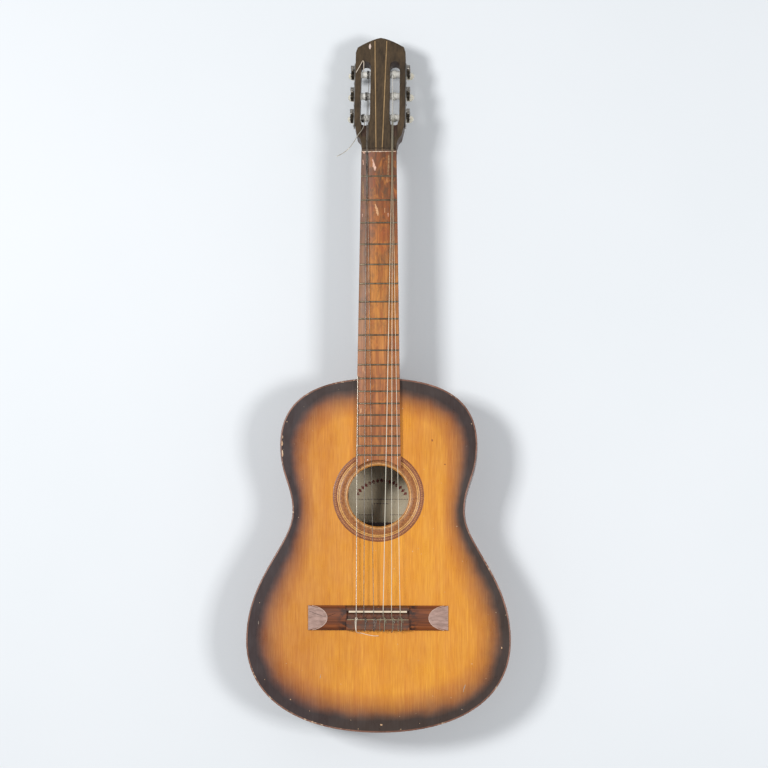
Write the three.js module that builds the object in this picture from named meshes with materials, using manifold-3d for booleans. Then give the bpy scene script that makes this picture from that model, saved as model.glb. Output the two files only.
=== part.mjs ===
// A worn six-string guitar with a nylon-string tie bridge, lying on its flat back.
// +Y points to the head, +X to the treble side and +Z out of the face. Sizes are in millimetres.
// The nut is missing and the sixth string has snapped, so it is in two pieces.

import * as THREE from 'three';
import { mergeVertices } from 'three/addons/utils/BufferGeometryUtils.js';
import Module from 'manifold-3d';

const wasm = await Module();
wasm.setup();

// Clearances
const glueGap = 0.1;
const seatGap = 0.3;
const runGap = 0.3;
const journalGap = 0.3;

// Scale and frets
const scaleLength = 650;
const fretCount = 19;
const joinFret = 12;
const fretCrownWidth = 2.4;
const fretCrownHeight = 1.1;
const fretSink = 0.3;
const fretEndInset = 0.3;

// Fingerboard and neck
const nutSeat = 4.5;
const nutEndWidth = 50;
const joinWidth = 59.8;
const boardThick = 6;
const boardToHoleEdge = 7.6;
const boardPastLastFret = 6.8;
const neckDepthNut = 15;
const neckDepthHeel = 18;
const neckShoulderRun = 6;
const neckShoulderDrop = 1;
const neckRoundFrom = 20;
const heelRun = 80;
const heelHalf = 13;
const heelFoot = 15;

// Body box
const bodyDepth = 95;
const boutCurveTop = 324;
const upperBoutHalf = 139.1;
const upperBoutStation = 417.4;
const waistHalf = 121.2;
const waistStation = 512.5;
const lowerBoutHalf = 185.4;
const lowerBoutStation = 691.7;
const tailStation = 819.8;
const shoulderHandles = [103, 54.4];
const aboveWaistHandles = [46.1, 38.1];
const belowWaistHandles = [46.2, 86.9];
const tailHandles = [83.6, 109];
const soundboardThick = 2.4;
const backThick = 2.6;
const ribThick = 2;
const bindingWide = 2.2;
const bindingHigh = 5;
const liningWide = 6;
const liningHigh = 14;
const blockHalf = 32;
const neckBlockRun = 38;
const tailBlockRun = 16;

// Braces
const barWide = 8;
const barHigh = 14;
const topBarsFromHole = [-78.5, 61.5];
const backBarsFromHole = [-98.489, 65.511, 213.511];
const fanStrutWide = 5;
const fanStrutHigh = 6;
const fanStrutFromHole = 77.5;
const fanStrutToTail = 51.8;
const fanSpreadStart = 26;
const fanSpreadEnd = 43;
const fanPairs = 2;

// Soundhole and rosette
const soundholeRadius = 43;
const rosetteDepth = 1.2;
const rosetteSides = 28;
const innerRingFrom = 47.5;
const innerRingTo = 54.5;
const middleRingTo = 58;
const outerRingTo = 64.2;
const labelWide = 96;
const labelLong = 74;
const labelThick = 0.4;
const labelTowardsHead = 12.5;

// Bridge
const saddleCompensation = 2;
const bridgeLength = 196;
const bridgeRun = 34.6;
const bridgeSaddleOffset = 8.6;
const bridgeCentreHalf = 44;
const bridgeWingHigh = 6.6;
const bridgeWingEdge = 1.7;
const bridgeFacetRun = 27;
const saddleRidgeHigh = 7;
const troughFloor = 2.8;
const troughFrom = 11.2;
const tieBlockFrom = 18.6;
const tieBlockHigh = 8.6;
const tieHoleRadius = 1.25;
const tieHoleHigh = 5.2;
const saddleLong = 81;
const saddleThick = 2.6;
const saddleTop = 10.6;
const saddleSlotFloor = 2.6;

// Head
const headAngle = THREE.MathUtils.degToRad(15);
const headLength = 177.5;
const headHalf = 36;
const headNutHalf = 25;
const headStraight = 5;
const headCuspHalf = 31.8;
const headCuspAt = 20.5;
const headFullAt = 43;
const headCornerAt = 154;
const headCrownAt = 162;
const headCrownHalf = 33.5;
const headWaistRise = 2.2;
const headWaistRun = 6;
const headShoulderDip = 1;
const headShoulderRun = 8;
const headCrownHandle = 13;
const headCrownDip = 2;
const inlayToTip = 4;
const headThick = 19;
const veneerThick = 1.6;
const slotFrom = 38.5;
const slotTo = 139.5;
const slotInner = 13.8;
const slotOuter = 28.2;
const rampFrom = 12;
const rampHalf = 5;
const rampDrop = 4.5;
const inlayWide = 1.3;
const inlayThick = 0.5;
const inlayHalfAtNut = 4.5;
const inlayHalfAtTip = 8.6;

// Machine heads: a worm on each key turns the gear on each roller
const rollerStations = [52.5, 87.5, 122.5];
const rollerDepth = 8.5;
const rollerRadius = 5;
const rollerJournalRadius = 3;
const rollerInnerEnd = 8;
const rollerShaftRadius = 2.4;
const plateThick = 1.2;
const plateHigh = 15;
const plateFrom = 36;
const plateTo = 141;
const plateScrewStations = [40.5, 73.5, 108.5, 137.5];
const screwHeadRadius = 2;
const screwHeadHigh = 0.9;
const gearModule = 0.9;
const gearTeeth = 14;
const gearThick = 3.6;
const gearAddendum = 0.6;
const gearDedendum = 0.75;
const gearScrewRadius = 3.4;
const gearScrewHigh = 1.2;
const wormPitchRadius = 2.2;
const wormAddendum = 0.6;
const wormDedendum = 0.65;
const wormTurns = 3;
const wormSideGap = 0.22;
const toothBacklash = 0.22;
const pressureSlope = 0.364;
const threadThick = 1.15;
const keyShaftRadius = 1.5;
const keyShaftTop = 0.8;
const earHigh = 1.6;
const earHalf = 3;
const earFromCentre = 5.6;
const earOverWorm = 0.6;
const buttonLong = 19;
const buttonWide = 15;
const buttonThick = 9;
const buttonSocket = 9;
const buttonGap = 2.5;

// Strings, from the first (treble) to the sixth (bass)
const stringDiameters = [0.71, 0.82, 1.02, 0.76, 0.9, 1.09];
const stringAtSaddle = [31.2, 19.2, 7.5, -5.8, -19.5, -30.1];
const stringAtNut = [21, 19.3, 17.4, -16, -17.7];
const stringAtRoller = [20.5, 18.8, 17.2, -16.8, -18.4];
const stringGap = 0.3;
const loopOffset = 1.9;
const loopBend = 1.8;
const loopTail = 3;
const remnantEnd = 322;
const remnantSag = 2.2;
const remnantRestFrets = [17, 15];
const remnantDrift = [0.2, 0.5, 0.8, 1];
const snappedStub = [
  [-21.5, 53.5, -2.6], [-21.2, 46.6, -1.6], [-22.3, 36, 1], [-25, 28, 3], [-29.3, 21, 4.4],
  [-33.3, 13, 5.2], [-37.5, 5.5, 5.4], [-42.5, -1.5, 5], [-48.5, -7, 4.2], [-54.5, -10.6, 3.2],
  [-60, -12.8, 2],
];

// Values that follow from the sizes above
const faceLevel = bodyDepth;
const innerFace = faceLevel - soundboardThick - glueGap;
const innerBack = backThick + glueGap;
const boardTop = faceLevel + glueGap + boardThick;
const fretTop = boardTop + fretCrownHeight;
const fretStation = (number) => scaleLength * (1 - 2 ** (-number / 12));
const neckEndStation = boutCurveTop - seatGap;
const boardSlope = (joinWidth - nutEndWidth) / 2 / fretStation(joinFret);
const boardHalf = (station) => nutEndWidth / 2 + boardSlope * station;
const boardArcRadius = soundholeRadius + boardToHoleEdge;
const soundholeStation = fretStation(fretCount) + boardPastLastFret + boardArcRadius;
const labelStation = soundholeStation - labelTowardsHead;
const topBarStations = topBarsFromHole.map((run) => soundholeStation + run);
const backBarStations = backBarsFromHole.map((run) => soundholeStation + run);
const fanStrutStart = soundholeStation + fanStrutFromHole;
const fanStrutEnd = tailStation - fanStrutToTail;
const bridgeFront = scaleLength + saddleCompensation - bridgeSaddleOffset;
const headReach = headLength * Math.cos(headAngle) + nutSeat + veneerThick * Math.sin(headAngle);
const nutLine = (tailStation - headReach) / 2;
const plateInner = headHalf + seatGap;
const plateOuter = plateInner + plateThick;
const wormOuterRadius = wormPitchRadius + wormAddendum;
const wormRootRadius = wormPitchRadius - wormDedendum;
const gearPitchRadius = gearModule * gearTeeth / 2;
const gearPitch = gearModule * Math.PI;
const keyPlane = plateOuter + wormSideGap + wormOuterRadius;
const keyFromRoller = gearPitchRadius + wormPitchRadius;
const wormLength = wormTurns * gearPitch;
const keyShaftBottom = -rollerDepth - plateHigh / 2 - buttonGap - buttonSocket;
const buttonTop = -rollerDepth - plateHigh / 2 - buttonGap;

// Finishes
const spruce = { color: 0xe0a050, roughness: 0.35 };
const burstEdge = { color: 0x4a2f28, roughness: 0.35 };
const rosewood = { color: 0x6d3b22, roughness: 0.45 };
const boardWood = { color: 0xa9703c, roughness: 0.5 };
const neckWood = { color: 0x7a4a2a, roughness: 0.4 };
const rawWood = { color: 0xd9b98a, roughness: 0.8 };
const darkVeneer = { color: 0x453a33, roughness: 0.45 };
const paleInlay = { color: 0xc09a62, roughness: 0.5 };
const steel = { color: 0xa8a6a0, roughness: 0.35, metalness: 0.9 };
const brassWheel = { color: 0x3b362f, roughness: 0.5, metalness: 0.8 };
const whitePlastic = { color: 0xefece0, roughness: 0.35 };
const nylon = { color: 0xe8e2d4, roughness: 0.3 };
const woundString = { color: 0x8d8a86, roughness: 0.35, metalness: 0.7 };
const paper = { color: 0xcfc6b4, roughness: 0.9 };

const guitar = new THREE.Group();
const head = new THREE.Group();

// Merges shared vertices and leaves out the flat triangles at a pole.
function merged(geometry) {
  const bare = geometry.clone();
  for (const name of Object.keys(bare.attributes)) {
    if (name !== 'position') bare.deleteAttribute(name);
  }
  const joined = mergeVertices(bare, 1e-4);
  const faces = joined.index.array;
  const kept = [];
  for (let i = 0; i < faces.length; i += 3) {
    const [a, b, c] = faces.slice(i, i + 3);
    if (a !== b && b !== c && c !== a) kept.push(a, b, c);
  }
  joined.setIndex(kept);
  return joined;
}

function toSolid(geometry) {
  const clean = merged(geometry);
  const mesh = new wasm.Mesh({
    numProp: 3,
    vertProperties: new Float32Array(clean.attributes.position.array),
    triVerts: new Uint32Array(clean.index.array),
  });
  return new wasm.Manifold(mesh);
}

function toGeometry(solid) {
  const mesh = solid.getMesh();
  const geometry = new THREE.BufferGeometry();
  geometry.setAttribute('position', new THREE.BufferAttribute(mesh.vertProperties, 3));
  geometry.setIndex(new THREE.BufferAttribute(mesh.triVerts, 1));
  return geometry;
}

// Joins the additions to a base and then cuts the tools out of it.
function shaped(base, additions, tools) {
  let solid = toSolid(base);
  for (const part of additions) solid = solid.add(toSolid(part));
  for (const tool of tools) solid = solid.subtract(toSolid(tool));
  return toGeometry(solid);
}

function place(parent, name, geometry, finish) {
  const material = new THREE.MeshStandardMaterial({ metalness: 0, ...finish });
  const mesh = new THREE.Mesh(merged(geometry), material);
  mesh.name = name;
  parent.add(mesh);
}

function boxBetween(low, high) {
  const size = high.map((value, i) => value - low[i]);
  const geometry = new THREE.BoxGeometry(...size);
  return geometry.translate(...low.map((value, i) => value + size[i] / 2));
}

function slab(shape, low, high) {
  const geometry = new THREE.ExtrudeGeometry(shape, { depth: high - low, bevelEnabled: false });
  return geometry.translate(0, 0, low);
}

// Turns a shape drawn in the Y-Z plane into a bar along X.
function barAlongX(shape, from, to) {
  const turn = new THREE.Matrix4().set(0, 0, 1, 0, 1, 0, 0, 0, 0, 1, 0, 0, 0, 0, 0, 1);
  return slab(shape, from, to).applyMatrix4(turn);
}

function rodAlong(axis, radius, from, to, sides) {
  const rod = new THREE.CylinderGeometry(radius, radius, to - from, sides);
  rod.translate(0, (from + to) / 2, 0);
  if (axis === 'x') rod.rotateZ(-Math.PI / 2);
  if (axis === 'z') rod.rotateX(Math.PI / 2);
  return rod;
}

function polygon(points) {
  return new THREE.Shape(points.map(([x, y]) => new THREE.Vector2(x, y)));
}

function ring(inner, outer, sides) {
  const shape = new THREE.Shape().setFromPoints(circle(outer, sides));
  shape.holes.push(new THREE.Path().setFromPoints(circle(inner, sides).reverse()));
  return shape;
}

function circle(radius, sides) {
  return Array.from({ length: sides }, (_, i) => {
    const angle = (i / sides) * 2 * Math.PI;
    return new THREE.Vector2(radius * Math.cos(angle), radius * Math.sin(angle));
  });
}

// Skins a row of closed sections, each with the same number of points, and caps both ends.
function loft(sections) {
  const count = sections[0].length;
  const vertices = sections.flat();
  const faces = [];
  for (let row = 0; row + 1 < sections.length; row++) {
    for (let i = 0; i < count; i++) {
      const next = (i + 1) % count;
      const near = row * count;
      const far = near + count;
      faces.push([near + i, near + next, far + next], [near + i, far + next, far + i]);
    }
  }
  const last = (sections.length - 1) * count;
  for (const [a, b, c] of flatTriangles(sections[0])) faces.push([a, c, b]);
  for (const [a, b, c] of flatTriangles(sections.at(-1))) faces.push([last + a, last + b, last + c]);
  return outward(vertices, faces);
}

// Triangles over a closed section that turn the same way as its points.
function flatTriangles(points) {
  const normal = new THREE.Vector3();
  points.forEach((point, i) => {
    normal.add(new THREE.Vector3().crossVectors(point, points[(i + 1) % points.length]));
  });
  normal.normalize();
  const across = new THREE.Vector3().subVectors(points[1], points[0]);
  across.addScaledVector(normal, -across.dot(normal)).normalize();
  const up = new THREE.Vector3().crossVectors(normal, across);
  const flat = points.map((point) => new THREE.Vector2(point.dot(across), point.dot(up)));
  return THREE.ShapeUtils.triangulateShape(flat, []);
}

function outward(vertices, faces) {
  let volume = 0;
  for (const [a, b, c] of faces) {
    const side = new THREE.Vector3().crossVectors(vertices[b], vertices[c]);
    volume += vertices[a].dot(side);
  }
  const turned = volume < 0 ? faces.map(([a, b, c]) => [a, c, b]) : faces;
  const geometry = new THREE.BufferGeometry().setFromPoints(vertices);
  geometry.setIndex(turned.flat());
  return geometry;
}

// A round string through a row of points, bent at each of them.
function stringAlong(points, diameter, sides) {
  const steps = points.length - 1;
  const up = new THREE.Vector3(0, 0, 1);
  const side = new THREE.Vector3(1, 0, 0);
  const sections = points.map((point, i) => {
    const before = points[Math.max(i - 1, 0)];
    const after = points[Math.min(i + 1, steps)];
    const along = new THREE.Vector3().subVectors(after, before).normalize();
    side.addScaledVector(along, -side.dot(along)).normalize();
    up.crossVectors(along, side);
    return circle(diameter / 2, sides).map((spot) => (
      point.clone().addScaledVector(side, spot.x).addScaledVector(up, spot.y)));
  });
  return loft(sections);
}

// Body outline: four curves from the neck joint round the treble side to the tail.
const boutCurves = [
  [[0, boutCurveTop], [shoulderHandles[0], boutCurveTop],
    [upperBoutHalf, upperBoutStation - shoulderHandles[1]], [upperBoutHalf, upperBoutStation], 8],
  [[upperBoutHalf, upperBoutStation], [upperBoutHalf, upperBoutStation + aboveWaistHandles[0]],
    [waistHalf, waistStation - aboveWaistHandles[1]], [waistHalf, waistStation], 4],
  [[waistHalf, waistStation], [waistHalf, waistStation + belowWaistHandles[0]],
    [lowerBoutHalf, lowerBoutStation - belowWaistHandles[1]], [lowerBoutHalf, lowerBoutStation], 8],
  [[lowerBoutHalf, lowerBoutStation], [lowerBoutHalf, lowerBoutStation + tailHandles[0]],
    [tailHandles[1], tailStation], [0, tailStation], 9],
].map(([start, first, second, end, steps]) => {
  const corners = [start, first, second, end].map(([x, station]) => new THREE.Vector2(x, -station));
  return { curve: new THREE.CubicBezierCurve(...corners), steps };
});

function halfOutline(inset) {
  const points = [];
  for (const { curve, steps } of boutCurves) {
    for (let i = points.length ? 1 : 0; i <= steps; i++) {
      const point = curve.getPoint(i / steps);
      const along = curve.getTangent(i / steps);
      points.push(new THREE.Vector2(point.x + along.y * inset, point.y - along.x * inset));
    }
  }
  return points;
}

function bodyOutline(inset) {
  const treble = halfOutline(inset);
  const bass = treble.slice(1, -1).reverse().map((point) => new THREE.Vector2(-point.x, point.y));
  return [...treble, ...bass].reverse();
}

function bodyShape(inset) {
  return new THREE.Shape().setFromPoints(bodyOutline(inset));
}

function hoopShape(outerInset, innerInset) {
  const shape = bodyShape(outerInset);
  shape.holes.push(new THREE.Path().setFromPoints(bodyOutline(innerInset).reverse()));
  return shape;
}

// Half the width of the inside of the body at a station.
function insideHalf(station, inset) {
  const half = halfOutline(inset);
  const i = half.findIndex((point, k) => k > 0 && -point.y >= station);
  const [a, b] = [half[i - 1], half[i]];
  return a.x + ((b.x - a.x) * (-station - a.y)) / (b.y - a.y);
}

function addBodyBox() {
  const plateInset = bindingWide + glueGap;
  const hole = circle(soundholeRadius, rosetteSides).reverse();
  const soundboard = bodyShape(plateInset);
  soundboard.holes.push(new THREE.Path().setFromPoints(
    hole.map((point) => new THREE.Vector2(point.x, point.y - soundholeStation))));
  const channel = slab(ring(innerRingFrom, outerRingTo, rosetteSides),
    faceLevel - rosetteDepth, faceLevel + 1);
  channel.translate(0, -soundholeStation, 0);
  place(guitar, 'soundboard',
    shaped(slab(soundboard, faceLevel - soundboardThick, faceLevel), fanStruts(), [channel]), spruce);
  const backBars = backBarStations.map((station) => (
    crossBar(station, backThick - glueGap, backThick + barHigh)));
  place(guitar, 'back_plate', shaped(slab(bodyShape(plateInset), 0, backThick), backBars, []),
    burstEdge);
  const hoop = hoopShape(0, bindingWide);
  place(guitar, 'top_binding', slab(hoop, faceLevel - bindingHigh, faceLevel), burstEdge);
  place(guitar, 'back_binding', slab(hoop, 0, bindingHigh), burstEdge);
  for (const [name, side] of [['rib_treble', 1], ['rib_bass', -1]]) {
    place(guitar, name, ribSide(side), burstEdge);
  }
  const levels = { top_lining: [innerFace - liningHigh, innerFace],
    back_lining: [innerBack, innerBack + liningHigh] };
  for (const [name, [low, high]] of Object.entries(levels)) {
    place(guitar, `${name}_treble`, liningSide(1, low, high), rawWood);
    place(guitar, `${name}_bass`, liningSide(-1, low, high), rawWood);
  }
  const inside = slab(bodyShape(plateInset), innerBack, innerFace);
  const neckEnd = boxBetween([-blockHalf, -boutCurveTop - neckBlockRun, innerBack],
    [blockHalf, -boutCurveTop + 1, innerFace]);
  const tailEnd = boxBetween([-blockHalf, -tailStation - 1, innerBack],
    [blockHalf, -tailStation + tailBlockRun, innerFace]);
  for (const [name, block] of [['neck_block', neckEnd], ['tail_block', tailEnd]]) {
    place(guitar, name, toGeometry(toSolid(inside).intersect(toSolid(block))), rawWood);
  }
}

// One bent side, from the neck joint to the tail seam.
function ribSide(side) {
  const outer = halfOutline(0);
  const inner = halfOutline(ribThick).reverse();
  const points = [...outer, ...inner].map((point) => (
    new THREE.Vector2(side * Math.max(point.x, glueGap / 2), point.y)));
  const shape = new THREE.Shape().setFromPoints(points);
  return slab(shape, bindingHigh + glueGap, faceLevel - bindingHigh - glueGap);
}

// The glue strip along one side, from the neck block to the tail block.
function liningSide(side, low, high) {
  const inset = bindingWide + glueGap;
  const hoop = toSolid(slab(hoopShape(inset, inset + liningWide), low, high));
  const near = side * (blockHalf + seatGap);
  const far = side * (lowerBoutHalf + 1);
  const half = boxBetween([Math.min(near, far), -tailStation - 1, low - 1],
    [Math.max(near, far), -boutCurveTop + 1, high + 1]);
  return toGeometry(hoop.intersect(toSolid(half)));
}

// Cross bars under the soundboard and on the back.
function crossBar(station, low, high) {
  const inset = bindingWide + glueGap + liningWide + seatGap;
  const half = Math.min(insideHalf(station - barWide / 2, inset),
    insideHalf(station + barWide / 2, inset));
  return boxBetween([-half, -station - barWide / 2, low], [half, -station + barWide / 2, high]);
}

// Struts that fan out from the soundhole under the lower bout.
function fanStruts() {
  const struts = [];
  const lean = (fanSpreadEnd - fanSpreadStart) / (fanStrutEnd - fanStrutStart);
  for (let i = -fanPairs; i <= fanPairs; i++) {
    const strut = boxBetween(
      [-fanStrutWide / 2, -fanStrutEnd, faceLevel - soundboardThick - fanStrutHigh],
      [fanStrutWide / 2, -fanStrutStart, faceLevel - soundboardThick + glueGap]);
    const slide = i * (fanSpreadStart - lean * fanStrutStart);
    struts.push(strut.applyMatrix4(new THREE.Matrix4().set(
      1, -i * lean, 0, slide, 0, 1, 0, 0, 0, 0, 1, 0, 0, 0, 0, 1)));
  }
  return struts;
}

function addBraces() {
  const names = ['top_bar_upper', 'top_bar_lower'];
  topBarStations.forEach((station, i) => {
    place(guitar, names[i], crossBar(station, innerFace - barHigh, innerFace), rawWood);
  });
}

function addRosette() {
  const rings = [
    ['rosette_inner_ring', innerRingFrom + glueGap, innerRingTo - glueGap / 2, rosewood],
    ['rosette_middle_ring', innerRingTo + glueGap / 2, middleRingTo - glueGap / 2, paleInlay],
    ['rosette_outer_ring', middleRingTo + glueGap / 2, outerRingTo - glueGap, rosewood],
  ];
  for (const [name, inner, outer, finish] of rings) {
    const inlay = slab(ring(inner, outer, rosetteSides), faceLevel - rosetteDepth + glueGap, faceLevel);
    place(guitar, name, inlay.translate(0, -soundholeStation, 0), finish);
  }
  const low = [-labelWide / 2, -labelStation - labelLong / 2, innerBack];
  const high = [labelWide / 2, -labelStation + labelLong / 2, innerBack + labelThick];
  place(guitar, 'label', boxBetween(low, high), paper);
}

// A neck section: a rounded half below a flat top, blended into the narrow heel near the body.
function neckSection(station, half, depth, squareness, heelShare) {
  const points = [];
  const steps = 12;
  for (let i = 0; i <= steps; i++) {
    const angle = (i / steps) * Math.PI;
    const across = Math.sign(Math.cos(angle)) * Math.abs(Math.cos(angle)) ** (2 / squareness);
    const down = Math.sin(angle) ** (2 / squareness);
    const pinch = heelHalf / half + (1 - heelHalf / half) * (1 - down) ** 2;
    const heelAcross = Math.sign(Math.cos(angle)) * Math.min(1, Math.abs(Math.cos(angle)) * 6) * pinch;
    const x = half * THREE.MathUtils.lerp(across, heelAcross, heelShare);
    points.push(new THREE.Vector3(x, -station, faceLevel - depth * down));
  }
  return points;
}

function addNeck() {
  const heelStart = neckEndStation - heelRun;
  const headSlant = Math.tan(headAngle);
  const sections = [neckSection(-nutSeat, headNutHalf, headThick, 7, 0)];
  for (const point of sections[0]) point.y += (point.z - faceLevel) * headSlant;
  sections.push(neckSection(neckShoulderRun, boardHalf(neckShoulderRun),
    headThick - neckShoulderDrop, 4, 0));
  sections.push(neckSection(neckRoundFrom, boardHalf(neckRoundFrom), neckDepthNut, 2.4, 0));
  sections.push(neckSection(heelStart, boardHalf(heelStart), neckDepthHeel, 2.2, 0));
  const heelSteps = 7;
  const fullDepth = faceLevel - innerBack;
  for (let i = 1; i <= heelSteps; i++) {
    const share = i / heelSteps;
    const station = heelStart + (heelRun - heelFoot) * Math.sin((share * Math.PI) / 2);
    const drop = 1 - Math.cos((share * Math.PI) / 2);
    const depth = neckDepthHeel + (fullDepth - neckDepthHeel) * drop;
    sections.push(neckSection(station, boardHalf(station), depth, 2.2, Math.sqrt(drop)));
  }
  sections.push(neckSection(neckEndStation, boardHalf(neckEndStation), fullDepth, 2.2, 1));
  place(guitar, 'neck', loft(sections), neckWood);
  const cap = new THREE.Shape();
  cap.moveTo(heelHalf, -neckEndStation);
  cap.lineTo(heelHalf, -neckEndStation + heelFoot / 2);
  cap.quadraticCurveTo(heelHalf, -neckEndStation + heelFoot, 0, -neckEndStation + heelFoot);
  cap.quadraticCurveTo(-heelHalf, -neckEndStation + heelFoot, -heelHalf, -neckEndStation + heelFoot / 2);
  cap.lineTo(-heelHalf, -neckEndStation);
  const capGeometry = new THREE.ExtrudeGeometry(cap,
    { depth: backThick, bevelEnabled: false, curveSegments: 5 });
  place(guitar, 'heel_cap', capGeometry, rosewood);
}

function addFingerboard() {
  const endHalf = boardHalf(soundholeStation - boardArcRadius);
  const cornerAngle = Math.asin(endHalf / boardArcRadius);
  const corner = soundholeStation - boardArcRadius * Math.cos(cornerAngle);
  const outline = [[-nutEndWidth / 2, 0], [-boardHalf(corner), -corner]];
  const arcSteps = 10;
  for (let i = 1; i < arcSteps; i++) {
    const angle = cornerAngle * (-1 + (2 * i) / arcSteps);
    outline.push([boardArcRadius * Math.sin(angle),
      -soundholeStation + boardArcRadius * Math.cos(angle)]);
  }
  outline.push([boardHalf(corner), -corner], [nutEndWidth / 2, 0]);
  const low = faceLevel + glueGap;
  const frets = [];
  for (let number = 1; number <= fretCount; number++) {
    const station = fretStation(number);
    frets.push(fretWire(boardHalf(station) - fretEndInset).translate(0, -station, boardTop));
  }
  place(guitar, 'fingerboard', shaped(slab(polygon(outline), low, boardTop), frets, []), boardWood);
}

// A half-round fret crown, sunk a little into the board.
function fretWire(half) {
  const crownHalf = fretCrownWidth / 2;
  const profile = polygon([
    [-crownHalf, -fretSink], [crownHalf, -fretSink], [crownHalf, 0],
    [crownHalf * 0.72, fretCrownHeight * 0.68], [0, fretCrownHeight],
    [-crownHalf * 0.72, fretCrownHeight * 0.68], [-crownHalf, 0],
  ]);
  return barAlongX(profile, -half, half);
}

function addBridge() {
  const base = faceLevel + glueGap;
  const slotCentre = bridgeSaddleOffset;
  const slotHalf = saddleThick / 2 + glueGap;
  const profileOf = (points) => polygon(points.map(([t, z]) => [-bridgeFront - t, base + z]));
  const centre = profileOf([
    [0, 0], [0, bridgeWingEdge], [3, saddleRidgeHigh], [slotCentre - slotHalf, saddleRidgeHigh],
    [slotCentre - slotHalf, saddleSlotFloor], [slotCentre + slotHalf, saddleSlotFloor],
    [slotCentre + slotHalf, saddleRidgeHigh], [troughFrom, saddleRidgeHigh - 1],
    [troughFrom + 1, troughFloor], [tieBlockFrom, troughFloor], [tieBlockFrom, tieBlockHigh],
    [bridgeRun - 1.5, tieBlockHigh], [bridgeRun, tieBlockHigh - 1.5], [bridgeRun, 0],
  ]);
  const wingPoints = [[0, 0], [0, bridgeWingEdge]];
  const arcSteps = 8;
  for (let i = 1; i < arcSteps; i++) {
    const along = i / arcSteps;
    const rise = Math.sqrt(1 - (2 * along - 1) ** 2);
    wingPoints.push([bridgeRun * along, bridgeWingEdge + (bridgeWingHigh - bridgeWingEdge) * rise]);
  }
  wingPoints.push([bridgeRun, bridgeWingEdge], [bridgeRun, 0]);
  const wings = barAlongX(profileOf(wingPoints), -bridgeLength / 2, bridgeLength / 2);
  const cuts = [boxBetween([-bridgeCentreHalf, -bridgeFront - bridgeRun - 1, base - 1],
    [bridgeCentreHalf, -bridgeFront + 1, base + tieBlockHigh])];
  for (const side of [-1, 1]) {
    const facet = polygon([
      [side * (bridgeLength / 2 + 1), bridgeWingEdge + base],
      [side * bridgeLength / 2, bridgeWingEdge + base],
      [side * (bridgeLength / 2 - bridgeFacetRun), bridgeWingHigh + base],
      [side * (bridgeLength / 2 + 1), bridgeWingHigh + base + 2]]);
    const cut = slab(facet, 0, bridgeRun + 2).rotateX(Math.PI / 2);
    cuts.push(cut.translate(0, -bridgeFront + 1, 0));
  }
  let bridge = toSolid(wings);
  for (const cut of cuts) bridge = bridge.subtract(toSolid(cut));
  bridge = bridge.add(toSolid(barAlongX(centre, -bridgeCentreHalf, bridgeCentreHalf)));
  for (const x of stringAtSaddle) {
    const hole = rodAlong('y', tieHoleRadius, -bridgeFront - bridgeRun - 1,
      -bridgeFront - tieBlockFrom + 1, 8);
    bridge = bridge.subtract(toSolid(hole.translate(x, 0, base + tieHoleHigh)));
  }
  place(guitar, 'bridge', toGeometry(bridge), rosewood);
  const saddleY = -bridgeFront - slotCentre;
  const saddle = polygon([
    [saddleY - saddleThick / 2, base + saddleSlotFloor + glueGap],
    [saddleY + saddleThick / 2, base + saddleSlotFloor + glueGap],
    [saddleY + saddleThick / 2, faceLevel + saddleTop - 0.8], [saddleY, faceLevel + saddleTop],
    [saddleY - saddleThick / 2, faceLevel + saddleTop - 0.8]]);
  place(guitar, 'saddle', barAlongX(saddle, -saddleLong / 2, saddleLong / 2), whitePlastic);
}

// Outline of the slotted head, with its waist near the nut and its low pointed crown.
function headShape(inset) {
  const shape = new THREE.Shape();
  const sideOf = (side) => [
    [side * (headNutHalf - inset), 0], [side * (headNutHalf - inset), headStraight],
    [side * (headNutHalf + headWaistRise - inset), headCuspAt - headWaistRun],
    [side * (headCuspHalf - inset), headCuspAt],
    [side * (headHalf - headShoulderDip - inset), headFullAt - headShoulderRun],
    [side * (headHalf - inset), headFullAt],
    [side * (headHalf - inset), headCornerAt], [side * (headCrownHalf - inset), headCrownAt]];
  const treble = sideOf(1);
  const bass = sideOf(-1).reverse();
  shape.moveTo(...treble[0]);
  for (const point of treble.slice(1)) shape.lineTo(...point);
  shape.quadraticCurveTo(headCrownHandle, headLength - headCrownDip, 0, headLength - inset);
  shape.quadraticCurveTo(-headCrownHandle, headLength - headCrownDip, ...bass[0]);
  for (const point of bass.slice(1)) shape.lineTo(...point);
  return shape;
}

function slotPath(side) {
  const radius = (slotOuter - slotInner) / 2;
  const centre = side * (slotInner + radius);
  const path = new THREE.Path();
  path.absarc(centre, slotTo - radius, radius, 0, Math.PI, false);
  path.absarc(centre, slotFrom + radius, radius, Math.PI, 2 * Math.PI, false);
  return path;
}

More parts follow.
